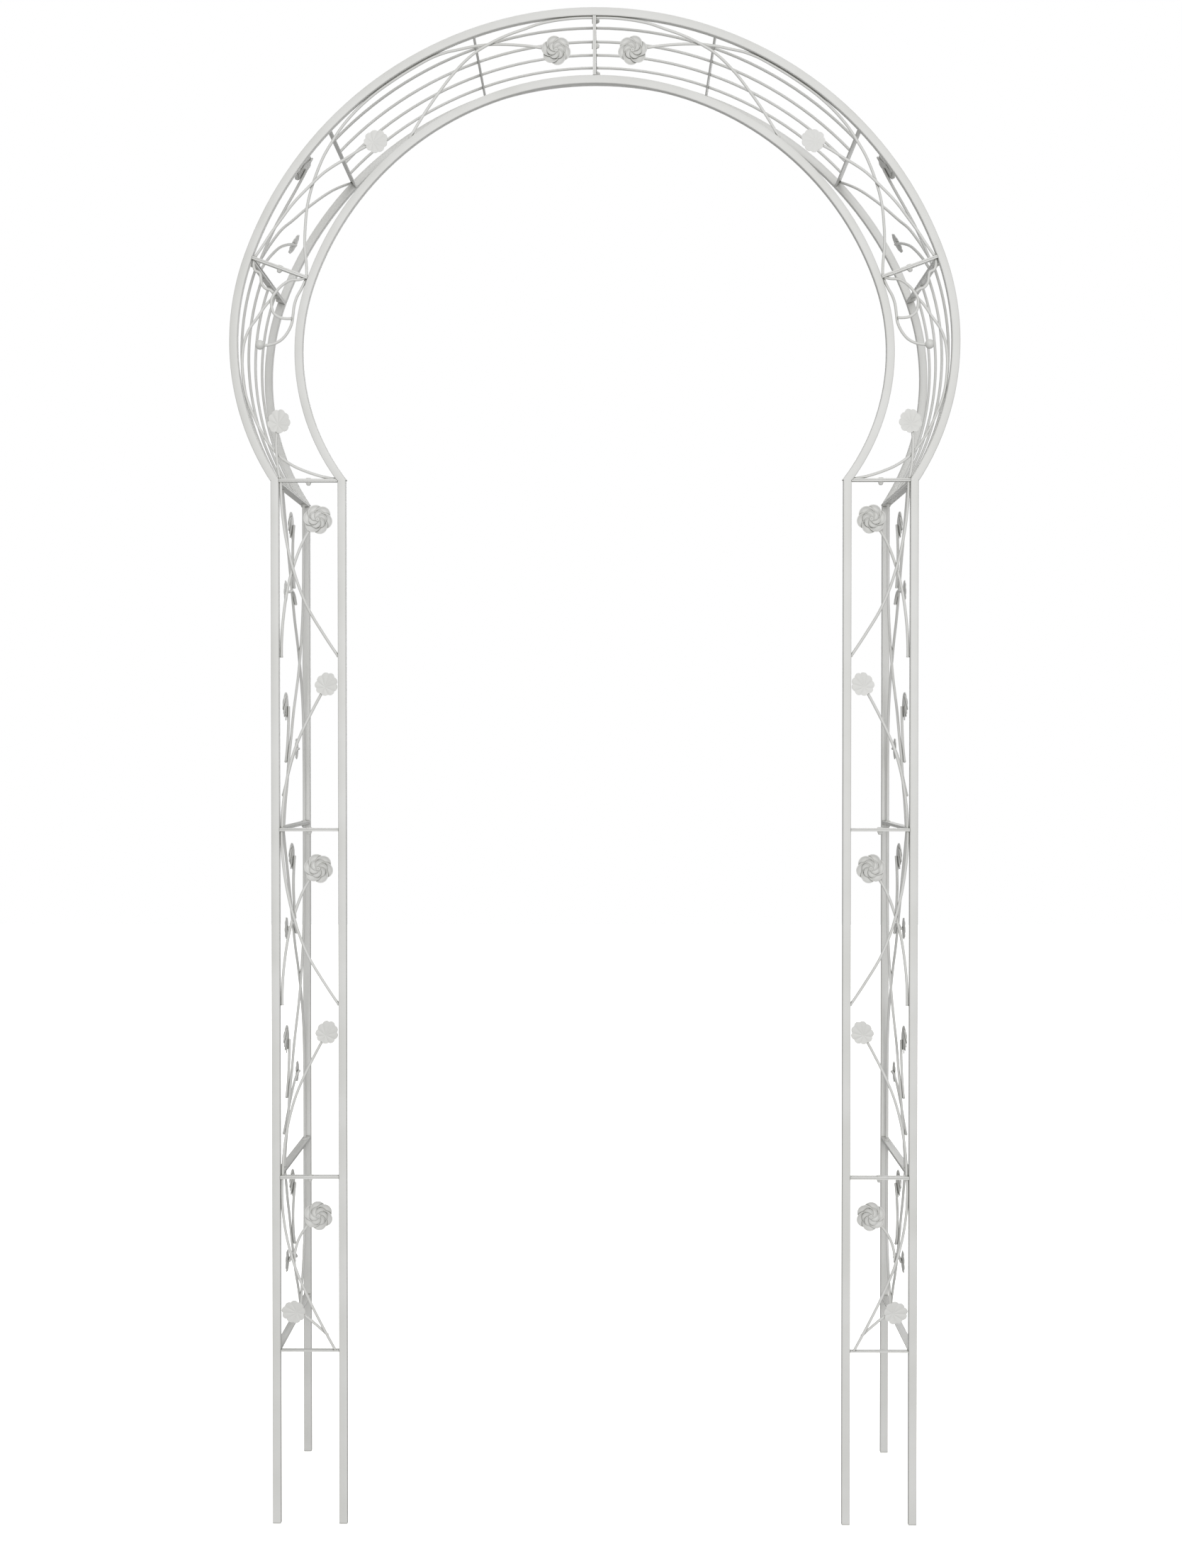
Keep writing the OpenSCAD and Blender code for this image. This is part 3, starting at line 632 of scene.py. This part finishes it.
def leg_rods(section):
    """(panel, layer, grid points, kind of sprig at its end) of a leg's rods."""
    ladder, beside = ladder_panel(section), side_panel(section)
    if section == LEGS[0]:
        return [
            (ladder, 0, LOW_BEND, None), (ladder, 1, LOW_ROSE, "rose"), (ladder, 1, LOW_LEAF, "leaf"),
            (beside, 0, LOW_SIDE_BEND_1, None), (beside, 1, LOW_SIDE_BEND_2, None),
            (beside, 1, LOW_SIDE_ROSE, "rose"), (beside, 1, LOW_SIDE_LEAF, "leaf"),
        ]
    return [
        (ladder, 0, HIGH_BEND, None), (ladder, 1, HIGH_ROSE, "rose"), (ladder, 1, HIGH_LEAF, "leaf"),
        (beside, 0, SIDE_BEND_1, None), (beside, 1, SIDE_BEND_2, None),
        (beside, 1, SIDE_ROSE_1, "rose"), (beside, 1, SIDE_LEAF_1, "leaf"),
        (beside, 0, SIDE_ROSE_2, "rose"), (beside, 0, SIDE_LEAF_2, "leaf"),
    ]


def section_rods(section):
    """(panel, layer, grid points, kind of sprig at its end) of a section's rods, for the left half."""
    if section in LEGS:
        return leg_rods(section)
    if section == "shoulder":
        panel = Panel(shoulder_to_sheet, upright, front_facing)
        return [
            (panel, 1, SHOULDER_WAVE, None), (panel, 0, SHOULDER_CURL, None),
            (panel, 1, SHOULDER_SCROLL, "ball"), (panel, 1, SHOULDER_BEND, None),
            (panel, 0, SHOULDER_LEAF, "leaf"),
        ]
    crown = Panel(crown_to_sheet, upright, front_facing)
    outside = Panel(outside_to_sheet, outside_to_space, outside_facing)
    return [
        (crown, 0, CROWN_BEND, None), (crown, 1, CROWN_ROSE, "rose"), (crown, 0, CROWN_LEAF, "leaf"),
        (outside, 0, OUTSIDE_BEND, None), (outside, 1, OUTSIDE_LEAF, "leaf"),
        (outside, 1, OUTSIDE_ROSE, "rose"),
    ]


# ---- Vine rods -----------------------------------------------------------------------------------

WELD_DEPTH = 1.2 * MM


def headings(points):
    """Heading of the curve at each point: that of the circle through it and its two neighbours."""
    spans = [b - a for a, b in zip(points, points[1:])]
    inner = [
        (a.normalized() * b.length + b.normalized() * a.length).normalized() for a, b in zip(spans, spans[1:])
    ]

    def reflected(heading, span):
        along = span.normalized()
        return 2 * heading.dot(along) * along - heading

    return [reflected(inner[0], spans[0]), *inner, reflected(inner[-1], spans[-1])]


def rod_path(panel, grid_points, sprig):
    """The sheet points and headings of a rod, run a little into what its ends are welded to."""
    points = [panel.to_sheet(g) for g in grid_points]
    ways = headings(points)
    points[0] = points[0] - WELD_DEPTH * ways[0]
    if sprig is None:
        points[-1] = points[-1] + WELD_DEPTH * ways[-1]
    return points, ways


def add_rod(curve, panel, depth, points, ways, side):
    """Adds one rod to a curve as a Bezier spline."""
    flip = side_matrix(side)
    spline = curve.splines.new("BEZIER")
    spline.bezier_points.add(len(points) - 1)
    spline.resolution_u = 10
    for i, (here, way) in enumerate(zip(points, ways)):
        before = (here - points[i - 1]).length / 3 if i > 0 else WELD_DEPTH
        after = (points[i + 1] - here).length / 3 if i < len(points) - 1 else WELD_DEPTH
        knot = spline.bezier_points[i]
        knot.handle_left_type = knot.handle_right_type = "FREE"
        knot.co = flip @ panel.to_space(here, depth)
        knot.handle_left = flip @ panel.to_space(here - before * way, depth)
        knot.handle_right = flip @ panel.to_space(here + after * way, depth)


def vine_mesh(sizes, side, section):
    """The bent rods of one section as one mesh."""
    name = f"{side}_{section}_vine_rods"
    curve = bpy.data.curves.new(name, "CURVE")
    curve.dimensions = "3D"
    curve.bevel_depth = sizes.rod / 2
    curve.bevel_resolution = 4
    curve.use_fill_caps = True
    for panel, layer, grid_points, sprig in section_rods(section):
        points, ways = rod_path(panel, grid_points, sprig)
        add_rod(curve, panel, layer_offset(layer, sizes.rod), points, ways, side)
    holder = bpy.data.objects.new(name, curve)
    bpy.context.scene.collection.objects.link(holder)
    bpy.context.view_layer.update()
    swept = bpy.data.meshes.new_from_object(holder.evaluated_get(bpy.context.evaluated_depsgraph_get()))
    bpy.data.objects.remove(holder)
    bpy.data.curves.remove(curve)
    bm = bmesh.new()
    bm.from_mesh(swept)
    bpy.data.meshes.remove(swept)
    bmesh.ops.remove_doubles(bm, verts=bm.verts, dist=0.001 * MM)
    bmesh.ops.recalc_face_normals(bm, faces=bm.faces)
    return to_mesh(bm, name)


def end_place(panel, layer, grid_points, rod, lift, side, end=-1):
    """Where a sprig or a weld sits at an end of a rod: facing out, with its X along the rod."""
    points = [panel.to_sheet(g) for g in grid_points]
    way = headings(points)[end]
    depth = layer_offset(layer, rod) - lift
    place = Matrix.Translation(panel.to_space(points[end], depth))
    turn = Matrix.Rotation(math.atan2(way.y, way.x), 4, "Z")
    return side_matrix(side) @ place @ panel.facing(points[end]) @ turn


def sprig_places(kind, on_sides, rod, lift):
    """The places of every rose, leaf or ball that faces the front, or that faces a side."""
    places = []
    for side in SIDES:
        for section in SECTIONS:
            for panel, layer, grid_points, sprig in section_rods(section):
                if sprig == kind and (panel.facing is not front_facing) == on_sides:
                    places.append(end_place(panel, layer, grid_points, rod, lift, side))
    return places


# ---- Roses and leaves ----------------------------------------------------------------------------


def spun_shape(bm, profile, steps):
    """Spins an outline of (radius, height) points round Z and closes it at the pole."""
    verts = [bm.verts.new((r, 0, z)) for r, z in profile]
    edges = [bm.edges.new(pair) for pair in zip(verts, verts[1:])]
    bmesh.ops.spin(
        bm, geom=verts + edges, cent=(0, 0, 0), axis=(0, 0, 1), angle=2 * math.pi, steps=steps, use_merge=True
    )
    bmesh.ops.remove_doubles(bm, verts=bm.verts, dist=0.01 * MM)


def petal_mesh(radius, thickness, cup, steps):
    """One pressed petal: a dished disc with a soft raised rim."""
    bm = bmesh.new()
    rim = thickness + cup
    outline = [
        (0, thickness * 0.6), (radius * 0.5, thickness * 0.7), (radius * 0.83, thickness * 0.95),
        (radius * 0.88, thickness + cup * 0.7), (radius * 0.92, rim), (radius * 0.98, rim * 0.97),
        (radius, rim * 0.8), (radius * 0.97, cup * 0.4), (radius * 0.6, 0), (0, 0),
    ]
    spun_shape(bm, outline, steps)
    bmesh.ops.recalc_face_normals(bm, faces=bm.faces)
    return to_mesh(bm, "petal")


PETALS = 6


def rose_mesh(sizes):
    """A pressed rose that faces up: two rings of petals, each tucked under the next, and a button."""
    width, depth = sizes.rose, sizes.rose_depth
    bm = bmesh.new()
    rings = (
        # offset, petal radius, height, thickness, cup, twist, tilt, segments
        (0.238 * width, 0.27 * width, 0.2 * depth, 0.15 * depth, 0.13 * depth, 0, 6, 36),
        (0.145 * width, 0.164 * width, 0.61 * depth, 0.12 * depth, 0.12 * depth, 20, 8, 28),
    )
    for offset, radius, height, thickness, cup, twist, tilt, steps in rings:
        petal = petal_mesh(radius, thickness, cup, steps)
        for k in range(PETALS):
            turn = Matrix.Rotation(math.radians(360 / PETALS * k + twist), 4, "Z")
            lean = Matrix.Rotation(math.radians(tilt), 4, "X")
            add_copy(bm, petal, turn @ Matrix.Translation((offset, 0, height)) @ lean)
        bpy.data.meshes.remove(petal)
    core = bmesh.new()
    button = [
        (0, 0.85), (0.014, 0.87), (0.024, 0.97), (0.04, 0.97), (0.05, 0.91), (0.066, 0.88), (0.07, 0.72)
    ]
    cone = [(0.2, 0.5), (0.36, 0.2), (0.36, 0.02), (0, 0.02)]
    spun_shape(core, [(r * width, z * depth) for r, z in button + cone], 24)
    bmesh.ops.recalc_face_normals(core, faces=core.faces)
    core_mesh = to_mesh(core, "core")
    add_copy(bm, core_mesh, Matrix.Identity(4))
    bpy.data.meshes.remove(core_mesh)
    return to_mesh(bm, "rose")


LEAF_LOBES = 9


def leaf_mesh(sizes):
    """A pressed leaf that lies flat: nine scallops and faint creases that fan out from near the stem."""
    bm = bmesh.new()
    rings = 5
    verts = [bm.verts.new((k / rings, 0, 0)) for k in range(rings + 1)]
    edges = [bm.edges.new(pair) for pair in zip(verts, verts[1:])]
    bmesh.ops.spin(
        bm, geom=verts + edges, cent=(0, 0, 0), axis=(0, 0, 1), angle=2 * math.pi,
        steps=LEAF_LOBES * 8, use_merge=True,
    )
    bmesh.ops.remove_doubles(bm, verts=bm.verts, dist=0.001)
    fan = Vector((-0.14 * sizes.leaf, 0, 0))
    for v in bm.verts:
        share = min(1.0, math.hypot(v.co.x, v.co.y))
        angle = math.atan2(v.co.y, v.co.x)
        wave = abs(math.cos(LEAF_LOBES / 2 * angle)) ** 0.7
        edge = sizes.leaf * (0.47 + 0.06 * wave) * (1 + 0.03 * math.sin(3 * angle + 0.7))
        rim = edge * Vector((math.cos(angle), math.sin(angle) * 0.94, 0))
        v.co = fan + (rim - fan) * share
        v.co.z = (0.9 * wave * share * (1.4 - share) + 0.5 * share * share) * MM
    bmesh.ops.recalc_face_normals(bm, faces=bm.faces)
    if sum(f.normal.z for f in bm.faces) < 0:
        bmesh.ops.reverse_faces(bm, faces=bm.faces)
    bmesh.ops.solidify(bm, geom=bm.faces[:], thickness=sizes.leaf_thickness)
    bmesh.ops.recalc_face_normals(bm, faces=bm.faces)
    lowest = min(v.co.z for v in bm.verts)
    bmesh.ops.translate(bm, verts=bm.verts, vec=(0, 0, -lowest))
    return to_mesh(bm, "leaf")


def repeated(name, shape, places):
    """One mesh with a copy of a shape at every place."""
    bm = bmesh.new()
    for place in places:
        add_copy(bm, shape, place)
    bpy.data.meshes.remove(shape)
    return to_mesh(bm, name)


# ---- Fasteners -----------------------------------------------------------------------------------


def joint_places():
    """Where each joint's three bolts stand: on the joint's plane, with Z towards the bolt's head."""
    across = (OUTER_X - INNER_X) / 2
    depths = (LEG_HIGH.y + WIRE_PITCH / 2, BACK_LOW.y - WIRE_PITCH / 2)
    spots = [(across, FRONT_Y), (0, depths[0]), (0, depths[1])]

    def on_crown(angle):
        top = Matrix.Translation((0, 0, CROWN_Z)) @ Matrix.Rotation(-angle, 4, "Y")
        return top @ Matrix.Translation((0, 0, OUTER_CROWN_R)) @ Matrix.Rotation(math.pi / 2, 4, "Y")

    joints = [on_crown(SHOULDER_ANGLE)]
    joints += [Matrix.Translation((-OUTER_X, 0, (i + 1) * LEG_SECTION)) for i in range(len(LEGS))]
    top = on_crown(0) @ Matrix.Diagonal((1, 1, -1, 1))
    places = [top @ Matrix.Translation((x, y, 0)) for x, y in spots]
    for side in SIDES:
        for joint in joints:
            places += [side_matrix(side) @ joint @ Matrix.Translation((x, y, 0)) for x, y in spots]
    return places


def hexagon(bm, across_flats, low, high, chamfer):
    """A hexagon prism from low to high, with its upper corners chamfered."""
    made = bmesh.ops.create_circle(bm, cap_ends=True, segments=6, radius=across_flats / math.sqrt(3))
    bmesh.ops.translate(bm, verts=made["verts"], vec=(0, 0, low))
    face = made["verts"][0].link_faces[0]
    for rise, shrink in ((high - low - chamfer, 1.0), (chamfer, 0.86)):
        made = bmesh.ops.extrude_face_region(bm, geom=[face])
        top = [v for v in made["geom"] if isinstance(v, bmesh.types.BMVert)]
        face = next(f for f in made["geom"] if isinstance(f, bmesh.types.BMFace))
        bmesh.ops.translate(bm, verts=top, vec=(0, 0, rise))
        bmesh.ops.scale(bm, verts=top, vec=(shrink, shrink, 1))


def bolt_mesh(sizes):
    """A thin hexagon head and its shank."""
    bm = bmesh.new()
    hexagon(bm, sizes.flats, BAR_FACE, BAR_FACE + sizes.head_height, 0.35 * sizes.head_height)
    bmesh.ops.create_cone(
        bm, cap_ends=True, segments=16, radius1=sizes.bolt / 2, radius2=sizes.bolt / 2, depth=2 * BAR_FACE
    )
    bmesh.ops.recalc_face_normals(bm, faces=bm.faces)
    return to_mesh(bm, "bolt")


def cap_nut_mesh(sizes):
    """A hexagon nut with a closed dome, drawn below the joint."""
    bm = bmesh.new()
    hexagon(bm, sizes.flats, BAR_FACE, BAR_FACE + sizes.nut_height, 0.25 * sizes.nut_height)
    dome = 0.46 * sizes.flats
    base = BAR_FACE + 0.9 * sizes.nut_height
    rise = 0.1 * sizes.nut_height + sizes.cap_height
    outline = [(0, base)] + [
        (dome * math.cos(a) ** 0.6, base + rise * math.sin(a))
        for a in (math.radians(15 * k) for k in range(6))
    ] + [(0, base + rise)]
    spun_shape(bm, outline, 20)
    bmesh.ops.recalc_face_normals(bm, faces=bm.faces)
    bmesh.ops.transform(bm, matrix=Matrix.Diagonal((1, 1, -1, 1)), verts=bm.verts)
    bmesh.ops.reverse_faces(bm, faces=bm.faces)
    return to_mesh(bm, "cap_nut")


# ---- Operators -----------------------------------------------------------------------------------


class ARCH_OT_rails(bpy.types.Operator):
    """Make the square tube rails with rounded corners"""

    bl_idname = "arch.rails"
    bl_label = "Rails"

    def execute(self, context):
        for side in SIDES:
            for section in SECTIONS:
                for rail in RAILS:
                    node = f"{side}_{section}_{rail}"
                    mesh = rail_mesh(context.scene.arch_sizes, side, section, rail)
                    finish_piece(f"{node}_tube", mesh, powder_coat(), [node], smooth_angle=30)
        return {"FINISHED"}


class ARCH_OT_bars(bpy.types.Operator):
    """Make the flat bars with their edges rounded by the paint"""

    bl_idname = "arch.bars"
    bl_label = "Flat bars"

    def execute(self, context):
        for node in BARS:
            bm = bmesh.new()
            bm.from_mesh(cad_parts[node].data)
            bmesh.ops.remove_doubles(bm, verts=bm.verts, dist=0.005 * MM)
            bmesh.ops.dissolve_limit(
                bm, angle_limit=math.radians(1), verts=bm.verts, edges=bm.edges, delimit={"NORMAL"}
            )
            sharp = [
                e for e in bm.edges
                if len(e.link_faces) == 2 and e.calc_face_angle() > math.radians(45)
            ]
            bmesh.ops.bevel(
                bm, geom=sharp, offset=context.scene.arch_sizes.bar_edge, segments=2, profile=0.5,
                affect="EDGES", material=-1, clamp_overlap=True,
            )
            mesh = to_mesh(bm, node)
            finish_piece(f"{node}_edged", mesh, powder_coat(), [node], smooth_angle=35)
        return {"FINISHED"}


class ARCH_OT_wires(bpy.types.Operator):
    """Make the round wires over the crown and down the shoulders"""

    bl_idname = "arch.wires"
    bl_label = "Wires"

    def wire(self, bm, radius, arc, first, last, y):
        """Adds one wire along an arc between two angles."""
        arc_r, centre = arc
        part = bmesh.new()
        bmesh.ops.create_circle(part, cap_ends=True, segments=16, radius=radius)
        place = on_arc(centre, first, y) @ Matrix.Translation((arc_r, 0, 0))
        bmesh.ops.transform(part, matrix=place, verts=part.verts)
        spin_up(part, centre, y, last - first)
        if last > math.pi / 2 + SHOULDER_ANGLE:
            edges = cut_level(part, ELBOW_Z + BAR_FACE)
            bmesh.ops.contextual_create(part, geom=edges)
        bmesh.ops.recalc_face_normals(part, faces=part.faces)
        mesh = to_mesh(part, "wire")
        for side in SIDES:
            add_copy(bm, mesh, side_matrix(side))
        bpy.data.meshes.remove(mesh)

    def execute(self, context):
        radius = context.scene.arch_sizes.wire / 2
        quarter = math.pi / 2
        half_bar = CROSS_BAR / 2 / OUTER_CROWN_R
        bays = (
            (BAR_FACE / OUTER_CROWN_R, FIRST_BAR_ANGLE - half_bar),
            (FIRST_BAR_ANGLE + half_bar, SECOND_BAR_ANGLE - half_bar),
        )
        crown, shoulder = bmesh.new(), bmesh.new()
        shoulder_r, centre, first, last = OUTER_SHOULDER
        for i in range(1, WIRE_COUNT + 1):
            y = LEG_HIGH.y + i * WIRE_PITCH
            for low, high in bays:
                self.wire(crown, radius, (OUTER_CROWN_R, CROWN_CENTRE), quarter + low, quarter + high, y)
            self.wire(
                shoulder, radius, (shoulder_r, centre), first + BAR_FACE / shoulder_r, last + 2 * ARC_STEP, y
            )
        for node, bm in (("crown_wires", crown), ("shoulder_wires", shoulder)):
            finish_piece(f"{node}_round", to_mesh(bm, node), powder_coat(), [node])
        return {"FINISHED"}


class ARCH_OT_vines(bpy.types.Operator):
    """Make the vine's bent rods, section by section"""

    bl_idname = "arch.vines"
    bl_label = "Vine rods"

    def execute(self, context):
        for side in SIDES:
            for section in SECTIONS:
                mesh = vine_mesh(context.scene.arch_sizes, side, section)
                node = f"{side}_{section}_vine"
                finish_piece(f"{node}_rods", mesh, powder_coat(), [node], smooth_angle=50)
        return {"FINISHED"}


class ARCH_OT_welds(bpy.types.Operator):
    """Make the small welds where the vine's rods end on a rail, a bar or another rod"""

    bl_idname = "arch.welds"
    bl_label = "Welds"

    def execute(self, context):
        rod = context.scene.arch_sizes.rod
        bead = bmesh.new()
        bmesh.ops.create_icosphere(bead, subdivisions=2, radius=0.62 * rod)
        bmesh.ops.scale(bead, verts=bead.verts, vec=(0.5, 1.0, 0.92))
        places = []
        for side in SIDES:
            for section in SECTIONS:
                for panel, layer, grid_points, sprig in section_rods(section):
                    for end in [0] if sprig else [0, -1]:
                        places.append(end_place(panel, layer, grid_points, rod, 0, side, end))
        mesh = repeated("vine_welds", to_mesh(bead, "bead"), places)
        finish_piece("vine_welds", mesh, powder_coat())
        return {"FINISHED"}


class ARCH_OT_roses(bpy.types.Operator):
    """Make the pressed roses"""

    bl_idname = "arch.roses"
    bl_label = "Roses"

    def execute(self, context):
        sizes = context.scene.arch_sizes
        for node, on_sides in (("front_roses", False), ("side_roses", True)):
            places = sprig_places("rose", on_sides, sizes.rod, sizes.rod / 2)
            mesh = repeated(node, rose_mesh(sizes), places)
            finish_piece(f"{node}_pressed", mesh, powder_coat(), [node], smooth_angle=55)
        return {"FINISHED"}


class ARCH_OT_leaves(bpy.types.Operator):
    """Make the pressed leaves"""

    bl_idname = "arch.leaves"
    bl_label = "Leaves"

    def execute(self, context):
        sizes = context.scene.arch_sizes
        for node, on_sides in (("front_leaves", False), ("side_leaves", True)):
            places = sprig_places("leaf", on_sides, sizes.rod, sizes.rod / 2)
            mesh = repeated(node, leaf_mesh(sizes), places)
            finish_piece(f"{node}_pressed", mesh, powder_coat(), [node])
        return {"FINISHED"}


class ARCH_OT_balls(bpy.types.Operator):
    """Make the balls at the ends of the shoulder scrolls"""

    bl_idname = "arch.balls"
    bl_label = "Scroll balls"

    def execute(self, context):
        sizes = context.scene.arch_sizes
        bm = bmesh.new()
        bmesh.ops.create_uvsphere(bm, u_segments=32, v_segments=20, radius=sizes.ball / 2)
        bmesh.ops.translate(bm, verts=bm.verts, vec=(sizes.ball / 2 - BALL_SOCKET, 0, 0))
        mesh = repeated("scroll_balls", to_mesh(bm, "ball"), sprig_places("ball", False, sizes.rod, 0))
        finish_piece("scroll_balls_turned", mesh, powder_coat(), ["scroll_balls"])
        return {"FINISHED"}


class ARCH_OT_fasteners(bpy.types.Operator):
    """Make the bolts and cap nuts of the joints"""

    bl_idname = "arch.fasteners"
    bl_label = "Bolts and cap nuts"

    def execute(self, context):
        sizes = context.scene.arch_sizes
        bolts = repeated("joint_bolts", bolt_mesh(sizes), joint_places())
        finish_piece(
            "joint_bolts_hexagon", bolts, fastener_paint(), ["joint_bolts"], smooth_angle=25
        )
        nuts = repeated("cap_nuts", cap_nut_mesh(sizes), joint_places())
        finish_piece(
            "cap_nuts_domed", nuts, fastener_paint(), ["cap_nuts"], smooth_angle=25
        )
        return {"FINISHED"}


# ---- Stage ---------------------------------------------------------------------------------------

EYE = Vector((0.02195, -3.77083, 1.23502))
LOOK_DOWN = math.radians(0.920)
LOOK_LEFT = math.radians(0.436)
LENS = 51.97
SENSOR_WIDTH = 36
FLOOR_HALF_WIDTH = 12
FLOOR_GLOW = 1.1
WORLD_LIGHT = 0.36
BACKDROP_LIGHT = 1.0


def area_light(name, place, aim, size, watts):
    """A soft square light that faces a point."""
    light = bpy.data.lights.new(name, "AREA")
    light.shape = "SQUARE"
    light.size = size
    light.energy = watts
    lamp = bpy.data.objects.new(name, light)
    bpy.context.scene.collection.objects.link(lamp)
    lamp.location = place
    lamp.rotation_euler = (Vector(aim) - Vector(place)).to_track_quat("-Z", "Y").to_euler()


class ARCH_OT_stage(bpy.types.Operator):
    """Make the floor, the soft studio light and the camera"""

    bl_idname = "arch.stage"
    bl_label = "Stage"

    def floor(self, context):
        """A plain pale floor, bright enough to run into the backdrop."""
        bm = bmesh.new()
        bmesh.ops.create_grid(bm, x_segments=1, y_segments=1, size=FLOOR_HALF_WIDTH)
        floor = bpy.data.objects.new("floor", to_mesh(bm, "floor"))
        context.scene.collection.objects.link(floor)
        material, tree = new_material("pale_floor")
        colour = tuple(context.scene.arch_colours.floor)
        surface = add_node(
            tree, "ShaderNodeBsdfPrincipled",
            {
                "Base Color": colour, "Roughness": 0.9,
                "Emission Color": colour, "Emission Strength": FLOOR_GLOW,
            },
        )
        add_node(tree, "ShaderNodeOutputMaterial", links={"Surface": surface.outputs["BSDF"]})
        floor.data.materials.append(material)
        floor.visible_diffuse = False
        floor.visible_glossy = False

    def light(self, context):
        """A broad light in front, weaker ones behind and above, and a white backdrop."""
        area_light("key", place=(1.0, -11.5, 3.2), aim=(0, 0, 1.2), size=6.0, watts=640)
        area_light("back", place=(1.5, 6.0, 3.0), aim=(0, 0, 1.2), size=4.0, watts=60)
        area_light("top", place=(0, 0, 6.0), aim=(0, 0, 1.0), size=4.0, watts=45)
        world = bpy.data.worlds.new("studio")
        world.use_nodes = True
        tree = world.node_tree
        tree.nodes.clear()
        soft = add_node(tree, "ShaderNodeBackground", {"Color": (1, 1, 0.985, 1), "Strength": WORLD_LIGHT})
        backdrop = add_node(
            tree, "ShaderNodeBackground", {"Color": (1, 1, 1, 1), "Strength": BACKDROP_LIGHT}
        )
        ray = add_node(tree, "ShaderNodeLightPath")
        mixer = add_node(
            tree, "ShaderNodeMixShader",
            links={0: ray.outputs["Is Camera Ray"], 1: soft.outputs[0], 2: backdrop.outputs[0]},
        )
        add_node(tree, "ShaderNodeOutputWorld", links={"Surface": mixer.outputs[0]})
        context.scene.world = world
        context.scene.view_settings.view_transform = "Standard"

    def camera(self, context):
        """The camera, at half the arch's height and turned a little down and to the left."""
        data = bpy.data.cameras.new("camera")
        data.lens = LENS
        data.sensor_width = SENSOR_WIDTH
        camera = bpy.data.objects.new("camera", data)
        context.scene.collection.objects.link(camera)
        camera.location = EYE
        camera.rotation_euler = (math.pi / 2 - LOOK_DOWN, 0, LOOK_LEFT)
        context.scene.camera = camera

    def execute(self, context):
        self.camera(context)
        self.floor(context)
        self.light(context)
        return {"FINISHED"}


class ARCH_PT_panel(bpy.types.Panel):
    """Buttons that build the arch, and the sizes and colours that they use"""

    bl_label = "Garden Arch"
    bl_idname = "ARCH_PT_panel"
    bl_space_type = "VIEW_3D"
    bl_region_type = "UI"
    bl_category = "Garden Arch"

    def draw(self, context):
        for group in (context.scene.arch_sizes, context.scene.arch_colours):
            for name in group.__annotations__:
                self.layout.prop(group, name)
        for operator in OPERATORS:
            self.layout.operator(operator.bl_idname)


OPERATORS = (
    ARCH_OT_stage,
    ARCH_OT_rails,
    ARCH_OT_bars,
    ARCH_OT_wires,
    ARCH_OT_vines,
    ARCH_OT_welds,
    ARCH_OT_roses,
    ARCH_OT_leaves,
    ARCH_OT_balls,
    ARCH_OT_fasteners,
)
CLASSES = (ArchSizes, ArchColours, *OPERATORS, ARCH_PT_panel)


def register():
    """Registers the classes and gives the scene its sizes and colours."""
    for cls in CLASSES:
        bpy.utils.register_class(cls)
    bpy.types.Scene.arch_sizes = bpy.props.PointerProperty(type=ArchSizes)
    bpy.types.Scene.arch_colours = bpy.props.PointerProperty(type=ArchColours)


def unregister():
    """Takes the classes, sizes and colours away again."""
    del bpy.types.Scene.arch_colours
    del bpy.types.Scene.arch_sizes
    for cls in reversed(CLASSES):
        bpy.utils.unregister_class(cls)


def main():
    """Builds the whole arch."""
    register()
    for operator in OPERATORS:
        getattr(bpy.ops.arch, operator.bl_idname.split(".")[1])()


if __name__ == "__main__":
    main()
